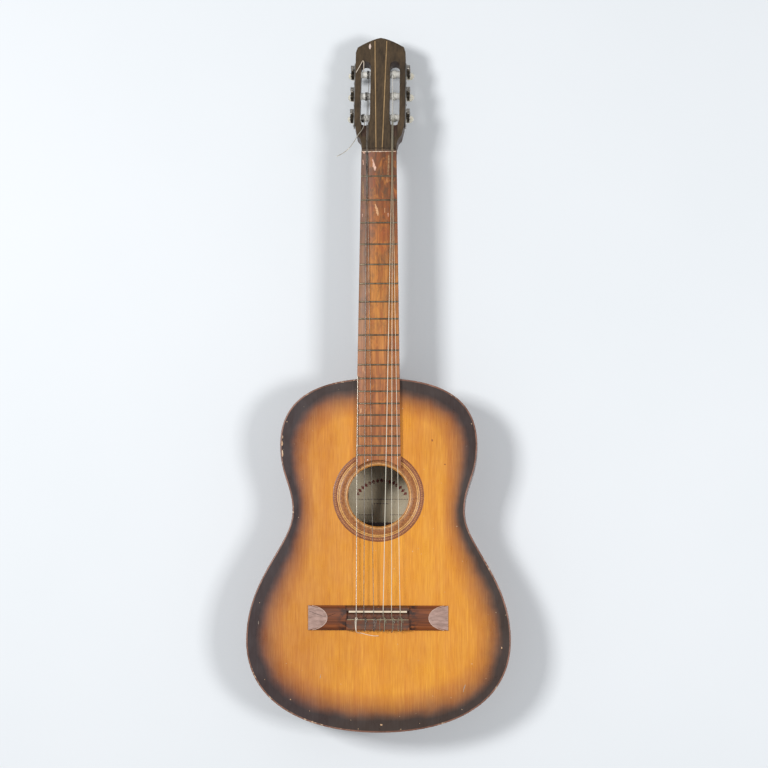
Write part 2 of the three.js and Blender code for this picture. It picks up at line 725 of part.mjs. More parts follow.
function addHead() {
  const rampCuts = [-1, 1].map((side) => {
    const centre = side * (slotInner + slotOuter) / 2;
    const wedge = polygon([[rampFrom, veneerThick], [slotFrom + 4, -rampDrop],
      [slotFrom + 4, veneerThick + 3], [rampFrom, veneerThick + 3]]);
    return barAlongX(wedge, centre - rampHalf, centre + rampHalf);
  });
  const layer = (low, high) => {
    const shape = headShape(0);
    for (const side of [-1, 1]) shape.holes.push(slotPath(side));
    return new THREE.ExtrudeGeometry(shape, { depth: high - low, bevelEnabled: false,
      curveSegments: 5 }).translate(0, 0, low);
  };
  const bores = [];
  for (const side of [-1, 1]) {
    for (const station of rollerStations) {
      const outer = rodAlong('x', rollerRadius + runGap, slotOuter - 1, headHalf + 1, 10);
      const inner = rodAlong('x', rollerJournalRadius + runGap, rollerInnerEnd - runGap,
        slotInner + 1, 8);
      for (const bore of [outer, inner]) {
        if (side < 0) bore.rotateZ(Math.PI);
        bores.push(bore.translate(0, station, -rollerDepth));
      }
    }
  }
  place(head, 'headstock', shaped(layer(-headThick, -seatGap / 2), [], [...bores, ...rampCuts]),
    neckWood);
  const grooves = [-1, 1].map((side) => inlayStrip(side, inlayWide / 2 + glueGap, inlayThick + glueGap,
    veneerThick + 1, 1));
  place(head, 'head_veneer', shaped(layer(seatGap / 2, veneerThick), [], [...rampCuts, ...grooves]),
    darkVeneer);
  for (const [name, side] of [['head_inlay_treble', 1], ['head_inlay_bass', -1]]) {
    place(head, name, inlayStrip(side, inlayWide / 2, inlayThick, veneerThick, -1), paleInlay);
  }
  head.position.set(0, nutSeat, faceLevel);
  head.rotation.x = -headAngle;
  guitar.add(head);
}

// One of the two pale lines that spread from the nut to the head's tip.
function inlayStrip(side, half, thick, top, overrun) {
  const atNut = side * inlayHalfAtNut;
  const atTip = side * inlayHalfAtTip;
  const end = headLength - inlayToTip;
  const strip = polygon([[atNut - half, -overrun], [atNut + half, -overrun],
    [atTip + half, end + overrun], [atTip - half, end + overrun]]);
  return slab(strip, veneerThick - thick, top);
}

// The worm: a root cylinder with one trapezoid thread wound round it.
function wormSolid() {
  const perTurn = 8;
  const inner = wormRootRadius - 0.2;
  const crestHalf = threadThick / 2 - wormAddendum * pressureSlope;
  const footHalf = threadThick / 2 + (wormPitchRadius - inner) * pressureSlope;
  const sections = [];
  for (let i = 0; i <= wormTurns * perTurn; i++) {
    const angle = (i / perTurn) * 2 * Math.PI - Math.PI / 2 - wormTurns * Math.PI;
    const height = (i / perTurn) * gearPitch - wormLength / 2;
    const corners = [[inner, -footHalf], [wormOuterRadius, -crestHalf],
      [wormOuterRadius, crestHalf], [inner, footHalf]];
    sections.push(corners.map(([radius, rise]) => new THREE.Vector3(
      radius * Math.cos(angle), radius * Math.sin(angle), height + rise)));
  }
  const ridge = toSolid(loft(sections));
  return ridge.add(toSolid(rodAlong('z', wormRootRadius, -earFromCentre + runGap,
    earFromCentre - runGap, perTurn)));
}

function addMachineHeads() {
  const worm = wormSolid();
  const shaft = toSolid(rodAlong('z', keyShaftRadius, keyShaftBottom + rollerDepth,
    keyShaftTop + rollerDepth, 8));
  const key = toGeometry(worm.add(shaft));
  let number = 0;
  for (const [plateName, side] of [['tuner_plate_treble', 1], ['tuner_plate_bass', -1]]) {
    for (const station of rollerStations) {
      number += 1;
      place(head, `roller_${number}`, rollerGeometry(side).translate(0, station, -rollerDepth),
        whitePlastic);
      place(head, `gear_${number}`, gearGeometry().translate(side * keyPlane, station, -rollerDepth),
        brassWheel);
      const keyAt = [side * keyPlane, station + keyFromRoller, -rollerDepth];
      place(head, `worm_shaft_${number}`, key.clone().translate(...keyAt), steel);
      place(head, `button_${number}`, buttonGeometry().translate(keyAt[0], keyAt[1], 0),
        whitePlastic);
    }
    place(head, plateName, plateGeometry(side), steel);
  }
}

// A white barrel across the slot, with its journals, its shaft and the end screw of its gear.
function rollerGeometry(side) {
  const gearOuter = keyPlane + gearThick / 2;
  const profile = [
    [0, rollerInnerEnd], [rollerJournalRadius, rollerInnerEnd],
    [rollerJournalRadius, slotInner + runGap], [rollerRadius, slotInner + runGap],
    [rollerRadius, headHalf - runGap], [rollerShaftRadius, headHalf - runGap],
    [rollerShaftRadius, gearOuter + seatGap], [gearScrewRadius, gearOuter + seatGap],
    [gearScrewRadius - 0.8, gearOuter + gearScrewHigh], [0, gearOuter + gearScrewHigh]];
  const lathe = new THREE.LatheGeometry(profile.map(([r, x]) => new THREE.Vector2(r, x)), 10);
  lathe.rotateZ(-side * Math.PI / 2);
  return lathe;
}

function gearGeometry() {
  const rootRadius = gearPitchRadius - gearDedendum;
  const tipRadius = gearPitchRadius + gearAddendum;
  const toothAtPitch = gearPitch - threadThick - 2 * toothBacklash;
  const tipHalf = (toothAtPitch / 2 - gearAddendum * pressureSlope) / tipRadius;
  const rootHalf = (toothAtPitch / 2 + gearDedendum * pressureSlope) / rootRadius;
  const points = [];
  for (let tooth = 0; tooth < gearTeeth; tooth++) {
    const centre = ((tooth + 0.5) / gearTeeth) * 2 * Math.PI;
    for (const [radius, offset] of [[rootRadius, -rootHalf], [tipRadius, -tipHalf],
      [tipRadius, tipHalf], [rootRadius, rootHalf]]) {
      points.push([radius * Math.cos(centre + offset), radius * Math.sin(centre + offset)]);
    }
  }
  const shape = polygon(points);
  const bore = circle(rollerShaftRadius + seatGap, 8).reverse();
  shape.holes.push(new THREE.Path().setFromPoints(bore));
  const gear = barAlongX(shape, -gearThick / 2, gearThick / 2);
  const twist = gearPitch / (2 * Math.PI * wormPitchRadius) / gearPitchRadius;
  const spots = gear.attributes.position;
  for (let i = 0; i < spots.count; i++) {
    const spot = new THREE.Vector3().fromBufferAttribute(spots, i);
    if (Math.hypot(spot.y, spot.z) < rootRadius - 1) continue;
    spot.applyAxisAngle(new THREE.Vector3(1, 0, 0), spot.x * twist);
    spots.setXYZ(i, spot.x, spot.y, spot.z);
  }
  return gear;
}

// A rounded flat button with a blind socket for the key's shaft.
function buttonGeometry() {
  const half = buttonLong / 2;
  const neckRadius = keyShaftRadius + 1.6;
  const profile = [[0, -half], [buttonWide * 0.3, -half * 0.9], [buttonWide * 0.5, -half * 0.35],
    [buttonWide * 0.47, half * 0.25], [neckRadius, half * 0.7], [neckRadius, half], [0, half]];
  const lathe = new THREE.LatheGeometry(profile.map(([r, z]) => new THREE.Vector2(r, z)), 10);
  lathe.rotateX(Math.PI / 2).scale(buttonThick / buttonWide, 1, 1).translate(0, 0, buttonTop - half);
  const socket = rodAlong('z', keyShaftRadius + glueGap, keyShaftBottom - glueGap, buttonTop + 1, 10);
  return shaped(lathe, [], [socket]);
}

// A side plate with round ends, its screws, holes for the shafts and two bearing ears for each worm.
function plateGeometry(side) {
  const radius = plateHigh / 2;
  const outline = new THREE.Shape();
  outline.absarc(plateTo - radius, -rollerDepth, radius, -Math.PI / 2, Math.PI / 2, false);
  outline.absarc(plateFrom + radius, -rollerDepth, radius, Math.PI / 2, Math.PI * 1.5, false);
  const flat = new THREE.ExtrudeGeometry(outline, { depth: plateThick, bevelEnabled: false,
    curveSegments: 5 });
  const turn = new THREE.Matrix4().set(0, 0, 1, 0, 1, 0, 0, 0, 0, 1, 0, 0, 0, 0, 0, 1);
  flat.applyMatrix4(turn).translate(plateInner, 0, 0);
  const ears = [];
  const holes = [];
  for (const station of rollerStations) {
    const keyStation = station + keyFromRoller;
    for (const end of [-1, 1]) {
      const from = -rollerDepth + end * earFromCentre;
      const to = from + end * earHigh;
      ears.push(boxBetween([plateOuter - 0.2, keyStation - earHalf, Math.min(from, to)],
        [keyPlane + earHalf - earOverWorm, keyStation + earHalf, Math.max(from, to)]));
    }
    const keyHole = rodAlong('z', keyShaftRadius + journalGap, -rollerDepth - plateHigh, 0, 8);
    holes.push(keyHole.translate(keyPlane, keyStation, 0));
    const shaftHole = rodAlong('x', rollerShaftRadius + journalGap, plateInner - 1, plateOuter + 1, 10);
    holes.push(shaftHole.translate(0, station, -rollerDepth));
  }
  const screws = plateScrewStations.map((station) => (
    plateScrew().translate(0, station, -rollerDepth)));
  const plate = shaped(flat, [...ears, ...screws], holes);
  return side > 0 ? plate : mirrored(plate);
}

function mirrored(geometry) {
  const flipped = geometry.clone().scale(-1, 1, 1);
  const faces = flipped.index.array;
  for (let i = 0; i < faces.length; i += 3) [faces[i], faces[i + 1]] = [faces[i + 1], faces[i]];
  return flipped;
}

function plateScrew() {
  const profile = [[0, plateOuter - glueGap], [screwHeadRadius, plateOuter - glueGap],
    [screwHeadRadius * 0.6, plateOuter + screwHeadHigh], [0, plateOuter + screwHeadHigh]];
  const lathe = new THREE.LatheGeometry(profile.map(([r, x]) => new THREE.Vector2(r, x)), 6);
  return lathe.rotateZ(-Math.PI / 2);
}

// A point of the head, given across, along and above its sloping face, in the guitar's frame.
function onHead(x, along, above) {
  return new THREE.Vector3(x, along, above).applyAxisAngle(new THREE.Vector3(1, 0, 0), -headAngle)
    .add(new THREE.Vector3(0, nutSeat, faceLevel));
}

function saddleRoute(index) {
  const radius = stringDiameters[index] / 2;
  const x = stringAtSaddle[index];
  const holeLevel = faceLevel + glueGap + tieHoleHigh;
  const over = faceLevel + saddleTop + radius + stringGap;
  return { radius, x, holeLevel, over, saddleY: -bridgeFront - bridgeSaddleOffset };
}

// The string from the saddle through its hole and back over the tie block.
function tieRoute(index) {
  const { radius, x, holeLevel, over, saddleY } = saddleRoute(index);
  const rear = -bridgeFront - bridgeRun;
  const front = -bridgeFront - tieBlockFrom;
  const above = faceLevel + glueGap + tieBlockHigh + radius + stringGap;
  return [
    [x, saddleY, over], [x, saddleY - saddleThick / 2, over - stringGap],
    [x, front + loopBend, holeLevel], [x, rear - stringGap, holeLevel],
    [x + loopOffset * 0.3, rear - loopBend, holeLevel + loopBend],
    [x + loopOffset * 0.7, rear - loopBend / 2, above - stringGap],
    [x + loopOffset, rear + loopBend, above], [x + loopOffset, front - stringGap, above],
    [x + loopOffset * 0.9, front + loopBend * 0.8, above - loopBend / 2],
    [x + loopOffset * 0.8, front + loopBend, above - loopTail],
  ].map(([px, py, pz]) => new THREE.Vector3(px, py, pz));
}

function addStrings() {
  for (let index = 0; index < 5; index++) {
    const diameter = stringDiameters[index];
    const radius = diameter / 2;
    const side = Math.sign(stringAtNut[index]);
    const order = side > 0 ? index : 5 - index;
    const station = rollerStations[order];
    const nutX = stringAtNut[index];
    const rollerX = stringAtRoller[index];
    const rollerTop = -rollerDepth + rollerRadius + radius + stringGap;
    const wrap = rollerRadius + radius + stringGap;
    const diagonal = wrap * Math.SQRT1_2;
    const points = [
      onHead(rollerX, station + wrap, -rollerDepth),
      onHead(rollerX, station + diagonal, -rollerDepth + diagonal),
      onHead(rollerX, station, rollerTop),
      new THREE.Vector3(nutX, 0.4, boardTop + radius + stringGap + 0.2),
      new THREE.Vector3(nutX, -fretStation(1), fretTop + radius + stringGap),
      ...tieRoute(index),
    ];
    const finish = index < 3 ? nylon : woundString;
    place(guitar, `string_${index + 1}`, stringAlong(points, diameter, 6), finish);
  }
  addSnappedString();
}

// The sixth string: one length tied at the bridge and one stub left on its roller.
function addSnappedString() {
  const index = 5;
  const diameter = stringDiameters[index];
  const { radius, x, holeLevel, over, saddleY } = saddleRoute(index);
  const rest = fretTop + radius + stringGap;
  const boardEnd = -fretStation(fretCount);
  const span = boardEnd - saddleY;
  const route = [[x, -bridgeFront - tieBlockFrom - 2, holeLevel],
    [x, -bridgeFront - tieBlockFrom + 1.8, holeLevel], [x, saddleY - 2, over - 0.4],
    [x, saddleY, over], [x, saddleY + 2, over - 0.1]];
  for (const share of [0.25, 0.5, 0.75]) {
    const level = over + (rest - over) * share;
    route.push([x, saddleY + span * share, level - remnantSag * 4 * share * (1 - share)]);
  }
  const restStations = [boardEnd, ...remnantRestFrets.map((number) => -fretStation(number))];
  restStations.forEach((place, i) => route.push([x + remnantDrift[i], place, rest]));
  route.push([x + remnantDrift[3], -remnantEnd, rest + stringGap]);
  const remnant = new THREE.CatmullRomCurve3(route.map((spot) => new THREE.Vector3(...spot)));
  const stub = new THREE.CatmullRomCurve3(snappedStub.map(([px, along, above]) => (
    onHead(px, along, above))));
  const section = new THREE.Shape().setFromPoints(circle(diameter / 2, 8));
  for (const [name, path, steps] of [['string_6_lower', remnant, 48], ['string_6_stub', stub, 20]]) {
    place(guitar, name, new THREE.ExtrudeGeometry(section, { steps, extrudePath: path }), woundString);
  }
}

addBodyBox();
addBraces();
addRosette();
addNeck();
addFingerboard();
addBridge();
addHead();
addMachineHeads();
addStrings();
guitar.position.y = nutLine;

export default guitar;
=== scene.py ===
import math
import random

import bmesh
import bpy
import numpy as np
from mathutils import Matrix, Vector


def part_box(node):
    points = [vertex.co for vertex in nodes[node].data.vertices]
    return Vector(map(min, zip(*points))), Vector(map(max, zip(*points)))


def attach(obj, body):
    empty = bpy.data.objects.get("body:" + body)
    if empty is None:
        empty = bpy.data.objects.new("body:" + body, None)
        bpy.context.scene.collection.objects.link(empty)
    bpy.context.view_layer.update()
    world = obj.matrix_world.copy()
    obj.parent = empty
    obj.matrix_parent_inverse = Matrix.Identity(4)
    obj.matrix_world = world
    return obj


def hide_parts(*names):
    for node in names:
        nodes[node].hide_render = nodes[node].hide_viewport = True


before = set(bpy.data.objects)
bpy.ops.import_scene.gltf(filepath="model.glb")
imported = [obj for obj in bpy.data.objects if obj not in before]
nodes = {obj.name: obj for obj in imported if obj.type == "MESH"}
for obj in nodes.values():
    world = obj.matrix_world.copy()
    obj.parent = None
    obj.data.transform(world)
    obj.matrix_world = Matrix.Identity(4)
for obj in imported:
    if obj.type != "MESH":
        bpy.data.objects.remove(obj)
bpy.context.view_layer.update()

rng = random.Random(7)

# Sizes of the guitar in millimetres, as in the solids. A station runs from the nut line to the tail.
NUT_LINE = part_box("fingerboard")[1].y * 1000
FACE = 95
NUT_SEAT = 4.5
HEAD_TILT = math.radians(15)
SCALE = 650
FRETS = 19
HOLE_AT = 490.489
HOLE_RADIUS = 43
RINGS = [47.5, 54.5, 58, 64.2]
BOARD_ARC = 50.6
BOARD_LOW, BOARD_TOP = 95.1, 101.1
FRET_HIGH, FRET_WIDE = 1.1, 2.4
BRIDGE_FRONT, BRIDGE_RUN, BRIDGE_HALF, FACET_RUN = 643.4, 34.6, 98, 27
WING_HIGH, WING_EDGE = 6.6, 1.7
TIE_FROM, TIE_HIGH, TIE_HOLE = 18.6, 8.6, 5.2
SADDLE_AT, SADDLE_TOP = 652, 10.6
ROLLERS_AT, ROLLER_DEPTH, ROLLER_RADIUS = [52.5, 87.5, 122.5], 8.5, 5
KEY_PLANE, KEY_FROM_ROLLER = 40.52, 8.5
STRING_WIDE = [0.71, 0.82, 1.02, 0.76, 0.9, 1.09]
AT_SADDLE = [31.2, 19.2, 7.5, -5.8, -19.5, -30.1]
AT_NUT = [19.9, 19.12, 18.18, -16, -17.7]
AT_ROLLER = [19.9, 18.8, 17.7, -16.8, -18.4]
STRING_GAP = 0.3


def at(x, station, z):
    return Vector((x, NUT_LINE - station, z)) / 1000


def on_head(x, along, above):
    """A point given across, along and above the head's sloping face."""
    y = NUT_LINE + NUT_SEAT + along * math.cos(HEAD_TILT) + above * math.sin(HEAD_TILT)
    z = FACE - along * math.sin(HEAD_TILT) + above * math.cos(HEAD_TILT)
    return Vector((x, y, z)) / 1000


def fret_station(number):
    return SCALE * (1 - 2 ** (-number / 12))


def board_half(station):
    return 25 + (29.9 - 25) * station / fret_station(12)


# ---- Camera

lens = bpy.data.cameras.new("camera")
lens.lens = 96.42
lens.sensor_width = 36
camera = bpy.data.objects.new("camera", lens)
camera.location = (0.1451, -0.2531, 2.9858)
camera.rotation_euler = [math.radians(a) for a in (4.792, 2.714, 0.11)]
bpy.context.scene.collection.objects.link(camera)
bpy.context.scene.camera = camera


# ---- Node materials

def rgb(red, green, blue):
    linear = [(c / 255 / 12.92 if c <= 10 else ((c / 255 + 0.055) / 1.055) ** 2.4)
              for c in (red, green, blue)]
    return (*linear, 1)


class Look:
    """A procedural material around one shader, with short calls for the nodes it uses."""

    def __init__(self, name, **values):
        self.material = bpy.data.materials.new(name)
        self.material.use_nodes = True
        self.tree = self.material.node_tree
        self.tree.nodes.clear()
        self.shader = self.add("BsdfPrincipled")
        out = self.add("OutputMaterial")
        self.tree.links.new(self.shader.outputs[0], out.inputs["Surface"])
        self.spot = self.add("TexCoord").outputs["Object"]
        self.set(**values)

    def add(self, kind, sockets=None, **settings):
        node = self.tree.nodes.new("ShaderNode" + kind)
        for key, value in settings.items():
            setattr(node, key, value)
        for key, value in (sockets or {}).items():
            self.plug(node.inputs[key], value)
        return node

    def plug(self, socket, value):
        if isinstance(value, bpy.types.NodeSocket):
            self.tree.links.new(value, socket)
        else:
            socket.default_value = value

    def set(self, **values):
        for key, value in values.items():
            self.plug(self.shader.inputs[key.replace("_", " ")], value)

    def stretched(self, x, y, z, vector=None):
        return self.add("Mapping", {"Vector": vector or self.spot, "Scale": (x, y, z)}).outputs[0]

    def noise(self, vector, scale=1.0, detail=4.0, roughness=0.55, distortion=0.0):
        return self.add("TexNoise", {"Vector": vector, "Scale": scale, "Detail": detail,
                                     "Roughness": roughness, "Distortion": distortion}).outputs[0]

    def ramp(self, factor, *stops):
        node = self.add("ValToRGB", {"Fac": factor})
        marks = node.color_ramp.elements
        while len(marks) < len(stops):
            marks.new(0.5)
        for mark, (place, colour) in zip(marks, stops):
            mark.position = place
            mark.color = colour if len(colour) == 4 else rgb(*colour)
        return node.outputs["Color"]

    def span(self, value, low, high, start=0.0, end=1.0):
        """Maps low..high to start..end, held at both ends."""
        return self.add("MapRange", {"Value": value, "From Min": low, "From Max": high,
                                     "To Min": start, "To Max": end}).outputs[0]

    def mix(self, factor, first, second, blend="MIX"):
        return self.add("MixRGB", {"Fac": factor, "Color1": first, "Color2": second},
                        blend_type=blend).outputs[0]

    def math(self, operation, first, second=0.0):
        return self.add("Math", {0: first, 1: second}, operation=operation).outputs[0]

    def axis(self, name):
        return self.add("SeparateXYZ", {"Vector": self.spot}).outputs[name]

    def bump(self, height, distance, strength=1.0):
        node = self.add("Bump", {"Height": height, "Distance": distance, "Strength": strength})
        self.set(Normal=node.outputs[0])


def wood(name, dark, light, across=420, along=14, roughness=0.45, coat=0.0, grain_axis="y",
         pores=0.35, figure=0.5):
    """Straight-grained wood with fine fibres, broader bands and open pores."""
    look = Look(name, Coat_Weight=coat, Coat_Roughness=0.18)

    def along_grain(wide, long):
        scales = {"x": (long, wide, wide), "y": (wide, long, wide), "rim": (long, long, wide)}
        return look.stretched(*scales[grain_axis])

    fine = look.noise(along_grain(across, along), detail=5, roughness=0.6)
    broad = look.noise(along_grain(across * 0.18, along * 0.4), detail=3, distortion=0.6)
    shade = look.math("ADD", look.math("MULTIPLY", fine, 1 - figure), look.math("MULTIPLY", broad, figure))
    colour = look.ramp(shade, (0.34, dark), (0.68, light))
    pore = look.noise(along_grain(across * 2.2, along * 2.5), detail=2)
    hollow = look.span(pore, 0.6, 0.72)
    colour = look.mix(look.math("MULTIPLY", hollow, pores), colour, rgb(*[c * 0.45 for c in dark]))
    look.set(Base_Color=colour, Roughness=look.span(fine, 0.3, 0.7, roughness - 0.08, roughness + 0.1))
    look.bump(look.math("SUBTRACT", fine, hollow), 0.00008, 0.6)
    return look.material


def plain(name, colour, other, scale, roughness, metallic=0.0, spread=0.08, bump=0.00003, **values):
    """A plastic, paper or metal whose colour and polish drift from place to place."""
    look = Look(name, Metallic=metallic, **values)
    cloud = look.noise(look.spot, scale, detail=6, roughness=0.65)
    fine = look.noise(look.spot, scale * 14, detail=3)
    look.set(Base_Color=look.ramp(cloud, (0.35, colour), (0.66, other)),
             Roughness=look.span(fine, 0.3, 0.7, roughness - spread, roughness + spread))
    look.bump(fine, bump, 0.5)
    return look.material


def burst_top():
    """Spruce with a brown burst that follows the outline, under worn lacquer."""
    look = Look("spruce_burst", Coat_Weight=0.35, Coat_Roughness=0.16)
    edge = look.add("Attribute", attribute_name="burst").outputs["Fac"]
    wander = look.noise(look.spot, 26, detail=3)
    depth = look.math("ADD", edge, look.span(wander, 0.3, 0.7, -0.05, 0.05))
    low_right = look.math("MULTIPLY", look.span(look.axis("X"), 0.06, 0.12), look.span(look.axis("Y"), -0.12, -0.24))
    depth = look.math("ADD", depth, look.math("MULTIPLY", low_right, 0.07))
    colour = look.ramp(depth, (0.0, (66, 54, 48)), (0.25, (66, 54, 48)), (0.33, (100, 73, 56)),
                       (0.4, (134, 92, 60)), (0.47, (164, 110, 60)), (0.56, (186, 125, 58)),
                       (0.66, (206, 139, 58)), (0.8, (224, 153, 58)), (1.0, (246, 174, 57)))
    fine = look.noise(look.stretched(700, 24, 700), detail=5, roughness=0.62)
    fibre = look.noise(look.stretched(1600, 40, 1600), detail=3)
    broad = look.noise(look.stretched(64, 2.4, 64), detail=4, distortion=0.4)
    cloud = look.noise(look.stretched(9, 5, 9), detail=4)
    colour = look.mix(look.span(fine, 0.4, 0.62, 0.3, 0.0), colour, rgb(206, 164, 120), "MULTIPLY")
    colour = look.mix(look.span(fibre, 0.4, 0.6, 0.32, 0.0), colour, rgb(206, 168, 124), "MULTIPLY")
    colour = look.mix(look.span(broad, 0.36, 0.62, 0.24, 0.0), colour, rgb(226, 176, 128), "MULTIPLY")
    colour = look.mix(look.span(cloud, 0.35, 0.65, 0.3, 0.0), colour, rgb(226, 196, 176), "MULTIPLY")
    flank = look.math("ADD", look.span(look.axis("X"), -0.02, -0.11, 0.0, 0.95),
                      look.math("MULTIPLY", look.span(look.axis("X"), 0.025, 0.1),
                                look.span(look.axis("Y"), -0.18, -0.1, 0.1, 0.7)))
    colour = look.mix(flank, colour, rgb(230, 223, 255), "MULTIPLY")
    speck = look.noise(look.stretched(240, 190, 240), detail=2)
    colour = look.mix(look.span(speck, 0.765, 0.785), colour, rgb(226, 196, 160))
    smear = look.noise(look.stretched(30, 18, 30), detail=5, roughness=0.7)
    look.set(Base_Color=colour, Roughness=look.span(smear, 0.35, 0.7, 0.26, 0.46))
    look.bump(fine, 0.00005, 0.5)
    return look.material


def worn_edge(name, dark, light, bare):
    """Stained wood strip along the edge of the body, rubbed through here and there."""
    look = Look(name, Coat_Weight=0.25, Coat_Roughness=0.2)
    cloud = look.noise(look.spot, 60, detail=6, roughness=0.7)
    colour = look.ramp(cloud, (0.35, dark), (0.65, light))
    rub = look.noise(look.spot, 210, detail=5, roughness=0.7)
    where = look.noise(look.spot, 17, detail=2)
    share = look.math("MULTIPLY", look.span(rub, 0.54, 0.6), look.span(where, 0.5, 0.62))
    look.set(Base_Color=look.mix(share, colour, rgb(*bare)),
             Roughness=look.span(cloud, 0.3, 0.7, 0.3, 0.5))
    look.bump(rub, 0.00008, 0.5)
    return look.material


def board_look():
    """Worn fingerboard: reddish brown at the nut, orange up the neck, with grime and bare streaks."""
    look = Look("fingerboard_wood", Coat_Weight=0.08, Coat_Roughness=0.35)
    place = look.span(look.axis("Y"), (NUT_LINE - 330) / 1000, NUT_LINE / 1000)
    fine = look.noise(look.stretched(620, 18, 620), detail=6, roughness=0.65)
    broad = look.noise(look.stretched(110, 6, 110), detail=4, distortion=0.5)
    colour = look.ramp(place, (0.0, (200, 128, 68)), (0.25, (214, 142, 62)), (0.45, (216, 144, 56)),
                       (0.65, (194, 118, 50)), (0.8, (162, 97, 42)), (1.0, (134, 79, 38)))
    colour = look.mix(look.span(fine, 0.38, 0.62, 0.6, 0.0), colour, rgb(160, 108, 72), "MULTIPLY")
    colour = look.mix(look.span(broad, 0.42, 0.62, 0.35, 0.0), colour, rgb(160, 116, 80), "MULTIPLY")
    red = look.noise(look.stretched(70, 34, 70), detail=5, roughness=0.65, distortion=0.9)
    colour = look.mix(look.span(red, 0.52, 0.66, 0.0, 0.4), colour, rgb(164, 76, 40))
    gold = look.noise(look.stretched(62, 26, 62), scale=1.3, detail=4, roughness=0.6, distortion=1.2)
    colour = look.mix(look.span(gold, 0.54, 0.66, 0.0, 0.55), colour, rgb(206, 128, 50))
    grime = look.noise(look.stretched(105, 44, 105), detail=8, roughness=0.75, distortion=0.8)
    grime = look.math("MULTIPLY", look.span(grime, 0.48, 0.66), look.span(place, 0.2, 0.95, 0.4, 0.9))
    colour = look.mix(grime, colour, rgb(88, 64, 42))
    handled = look.math("MULTIPLY", look.span(look.axis("X"), -0.013, -0.0205, 0.0, 0.6),
                        look.span(place, 0.05, 0.4, 0.15, 1.0))
    colour = look.mix(handled, colour, rgb(96, 74, 60))
    bare = look.noise(look.stretched(260, 34, 260), detail=4, roughness=0.6)
    colour = look.mix(look.span(bare, 0.66, 0.74, 0.0, 0.5), colour, rgb(226, 168, 120))
    streak = look.noise(look.stretched(330, 12, 330), detail=3, roughness=0.5)
    colour = look.mix(look.span(streak, 0.64, 0.73, 0.0, 0.55), colour, rgb(70, 44, 30))
    look.set(Base_Color=colour, Roughness=look.span(broad, 0.3, 0.7, 0.42, 0.6))
    look.bump(fine, 0.00012, 0.6)
    return look.material


def bridge_look():
    """Dark bridge wood with its grain across the body, with a painted reflection on the end facets: a dull
    grey-mauve standing in for the lamp light they mirror.
    """
    look = Look("bridge_wood", Coat_Weight=0.15, Coat_Roughness=0.25)
    fine = look.noise(look.stretched(16, 540, 540), detail=5, roughness=0.6)
    broad = look.noise(look.stretched(7, 90, 90), detail=4, distortion=0.8)
    colour = look.ramp(broad, (0.32, (98, 50, 17)), (0.5, (130, 66, 21)), (0.7, (162, 88, 30)))
    colour = look.mix(look.span(fine, 0.38, 0.64, 0.5, 0.0), colour, rgb(116, 72, 54), "MULTIPLY")
    # Painted reflection: faces tilted like the end facets are found by their normals and given a grey-mauve colour
    # standing in for the lamp light they mirror.
    normal = look.add("NewGeometry").outputs["True Normal"]
    tilt = look.math("ABSOLUTE", look.add("SeparateXYZ", {"Vector": normal}).outputs["X"])
    up = look.add("SeparateXYZ", {"Vector": normal}).outputs["Z"]
    facet = look.math("MULTIPLY", look.span(tilt, 0.12, 0.15), look.span(up, 0.9, 0.95))
    facet_sheen = look.ramp(look.noise(look.stretched(60, 260, 260), detail=5, roughness=0.7),
                      (0.3, (124, 90, 76)), (0.7, (190, 154, 140)))
    across = look.math("ABSOLUTE", look.axis("X"))
    blot = look.noise(look.stretched(120, 190, 190), detail=4, roughness=0.65)
    near = look.span(look.math("ABSOLUTE", look.math("SUBTRACT", across, 0.047)), 0.002, 0.012, 0.9, 0.0)
    colour = look.mix(look.math("MULTIPLY", near, look.span(blot, 0.42, 0.56)), colour, rgb(46, 26, 18))
    centre = look.math("MULTIPLY", look.math("LESS_THAN", across, 0.0425), look.span(blot, 0.38, 0.6, 0.1, 0.8))
    colour = look.mix(centre, colour, rgb(84, 58, 44))
    colour = look.mix(facet, colour, facet_sheen)
    look.set(Base_Color=colour, Roughness=look.span(broad, 0.3, 0.7, 0.36, 0.55))
    look.bump(fine, 0.0001, 0.6)
    return look.material


def string_look(name, wound):
    """Clear nylon, or nylon under a fine metal winding whose turns follow the string's own length."""
    if not wound:
        look = Look(name, Transmission_Weight=0.2, IOR=1.5, Roughness=0.24)
        place = look.span(look.axis("Y"), -0.36, 0.38)
        dirt = look.noise(look.stretched(60, 140, 60), detail=5, roughness=0.7)
        colour = look.ramp(place, (0.0, (158, 150, 122)), (0.034, (178, 170, 142)), (0.044, (248, 242, 222)),
                           (0.5, (248, 242, 222)), (0.72, (220, 206, 178)), (0.86, (176, 156, 126)),
                           (0.92, (152, 140, 116)), (0.985, (176, 172, 154)), (0.995, (246, 243, 234)))
        look.set(Base_Color=look.mix(look.span(dirt, 0.42, 0.62, 0.0, 0.2), colour, rgb(160, 146, 118)))
        look.bump(dirt, 0.00002, 0.4)
        return look.material
    look = Look(name, Metallic=0.75)
    turns = look.add("UVMap").outputs[0]
    wave = look.add("TexWave", {"Vector": turns, "Scale": 1.0, "Distortion": 0.0},
                    wave_type="BANDS", bands_direction="X").outputs["Fac"]
    stain = look.noise(look.spot, 90, detail=5, roughness=0.7)
    colour = look.ramp(stain, (0.35, (92, 88, 84)), (0.7, (176, 170, 160)))
    look.set(Base_Color=colour, Roughness=look.span(stain, 0.3, 0.7, 0.28, 0.5))
    look.bump(wave, 0.00006, 0.8)
    return look.material


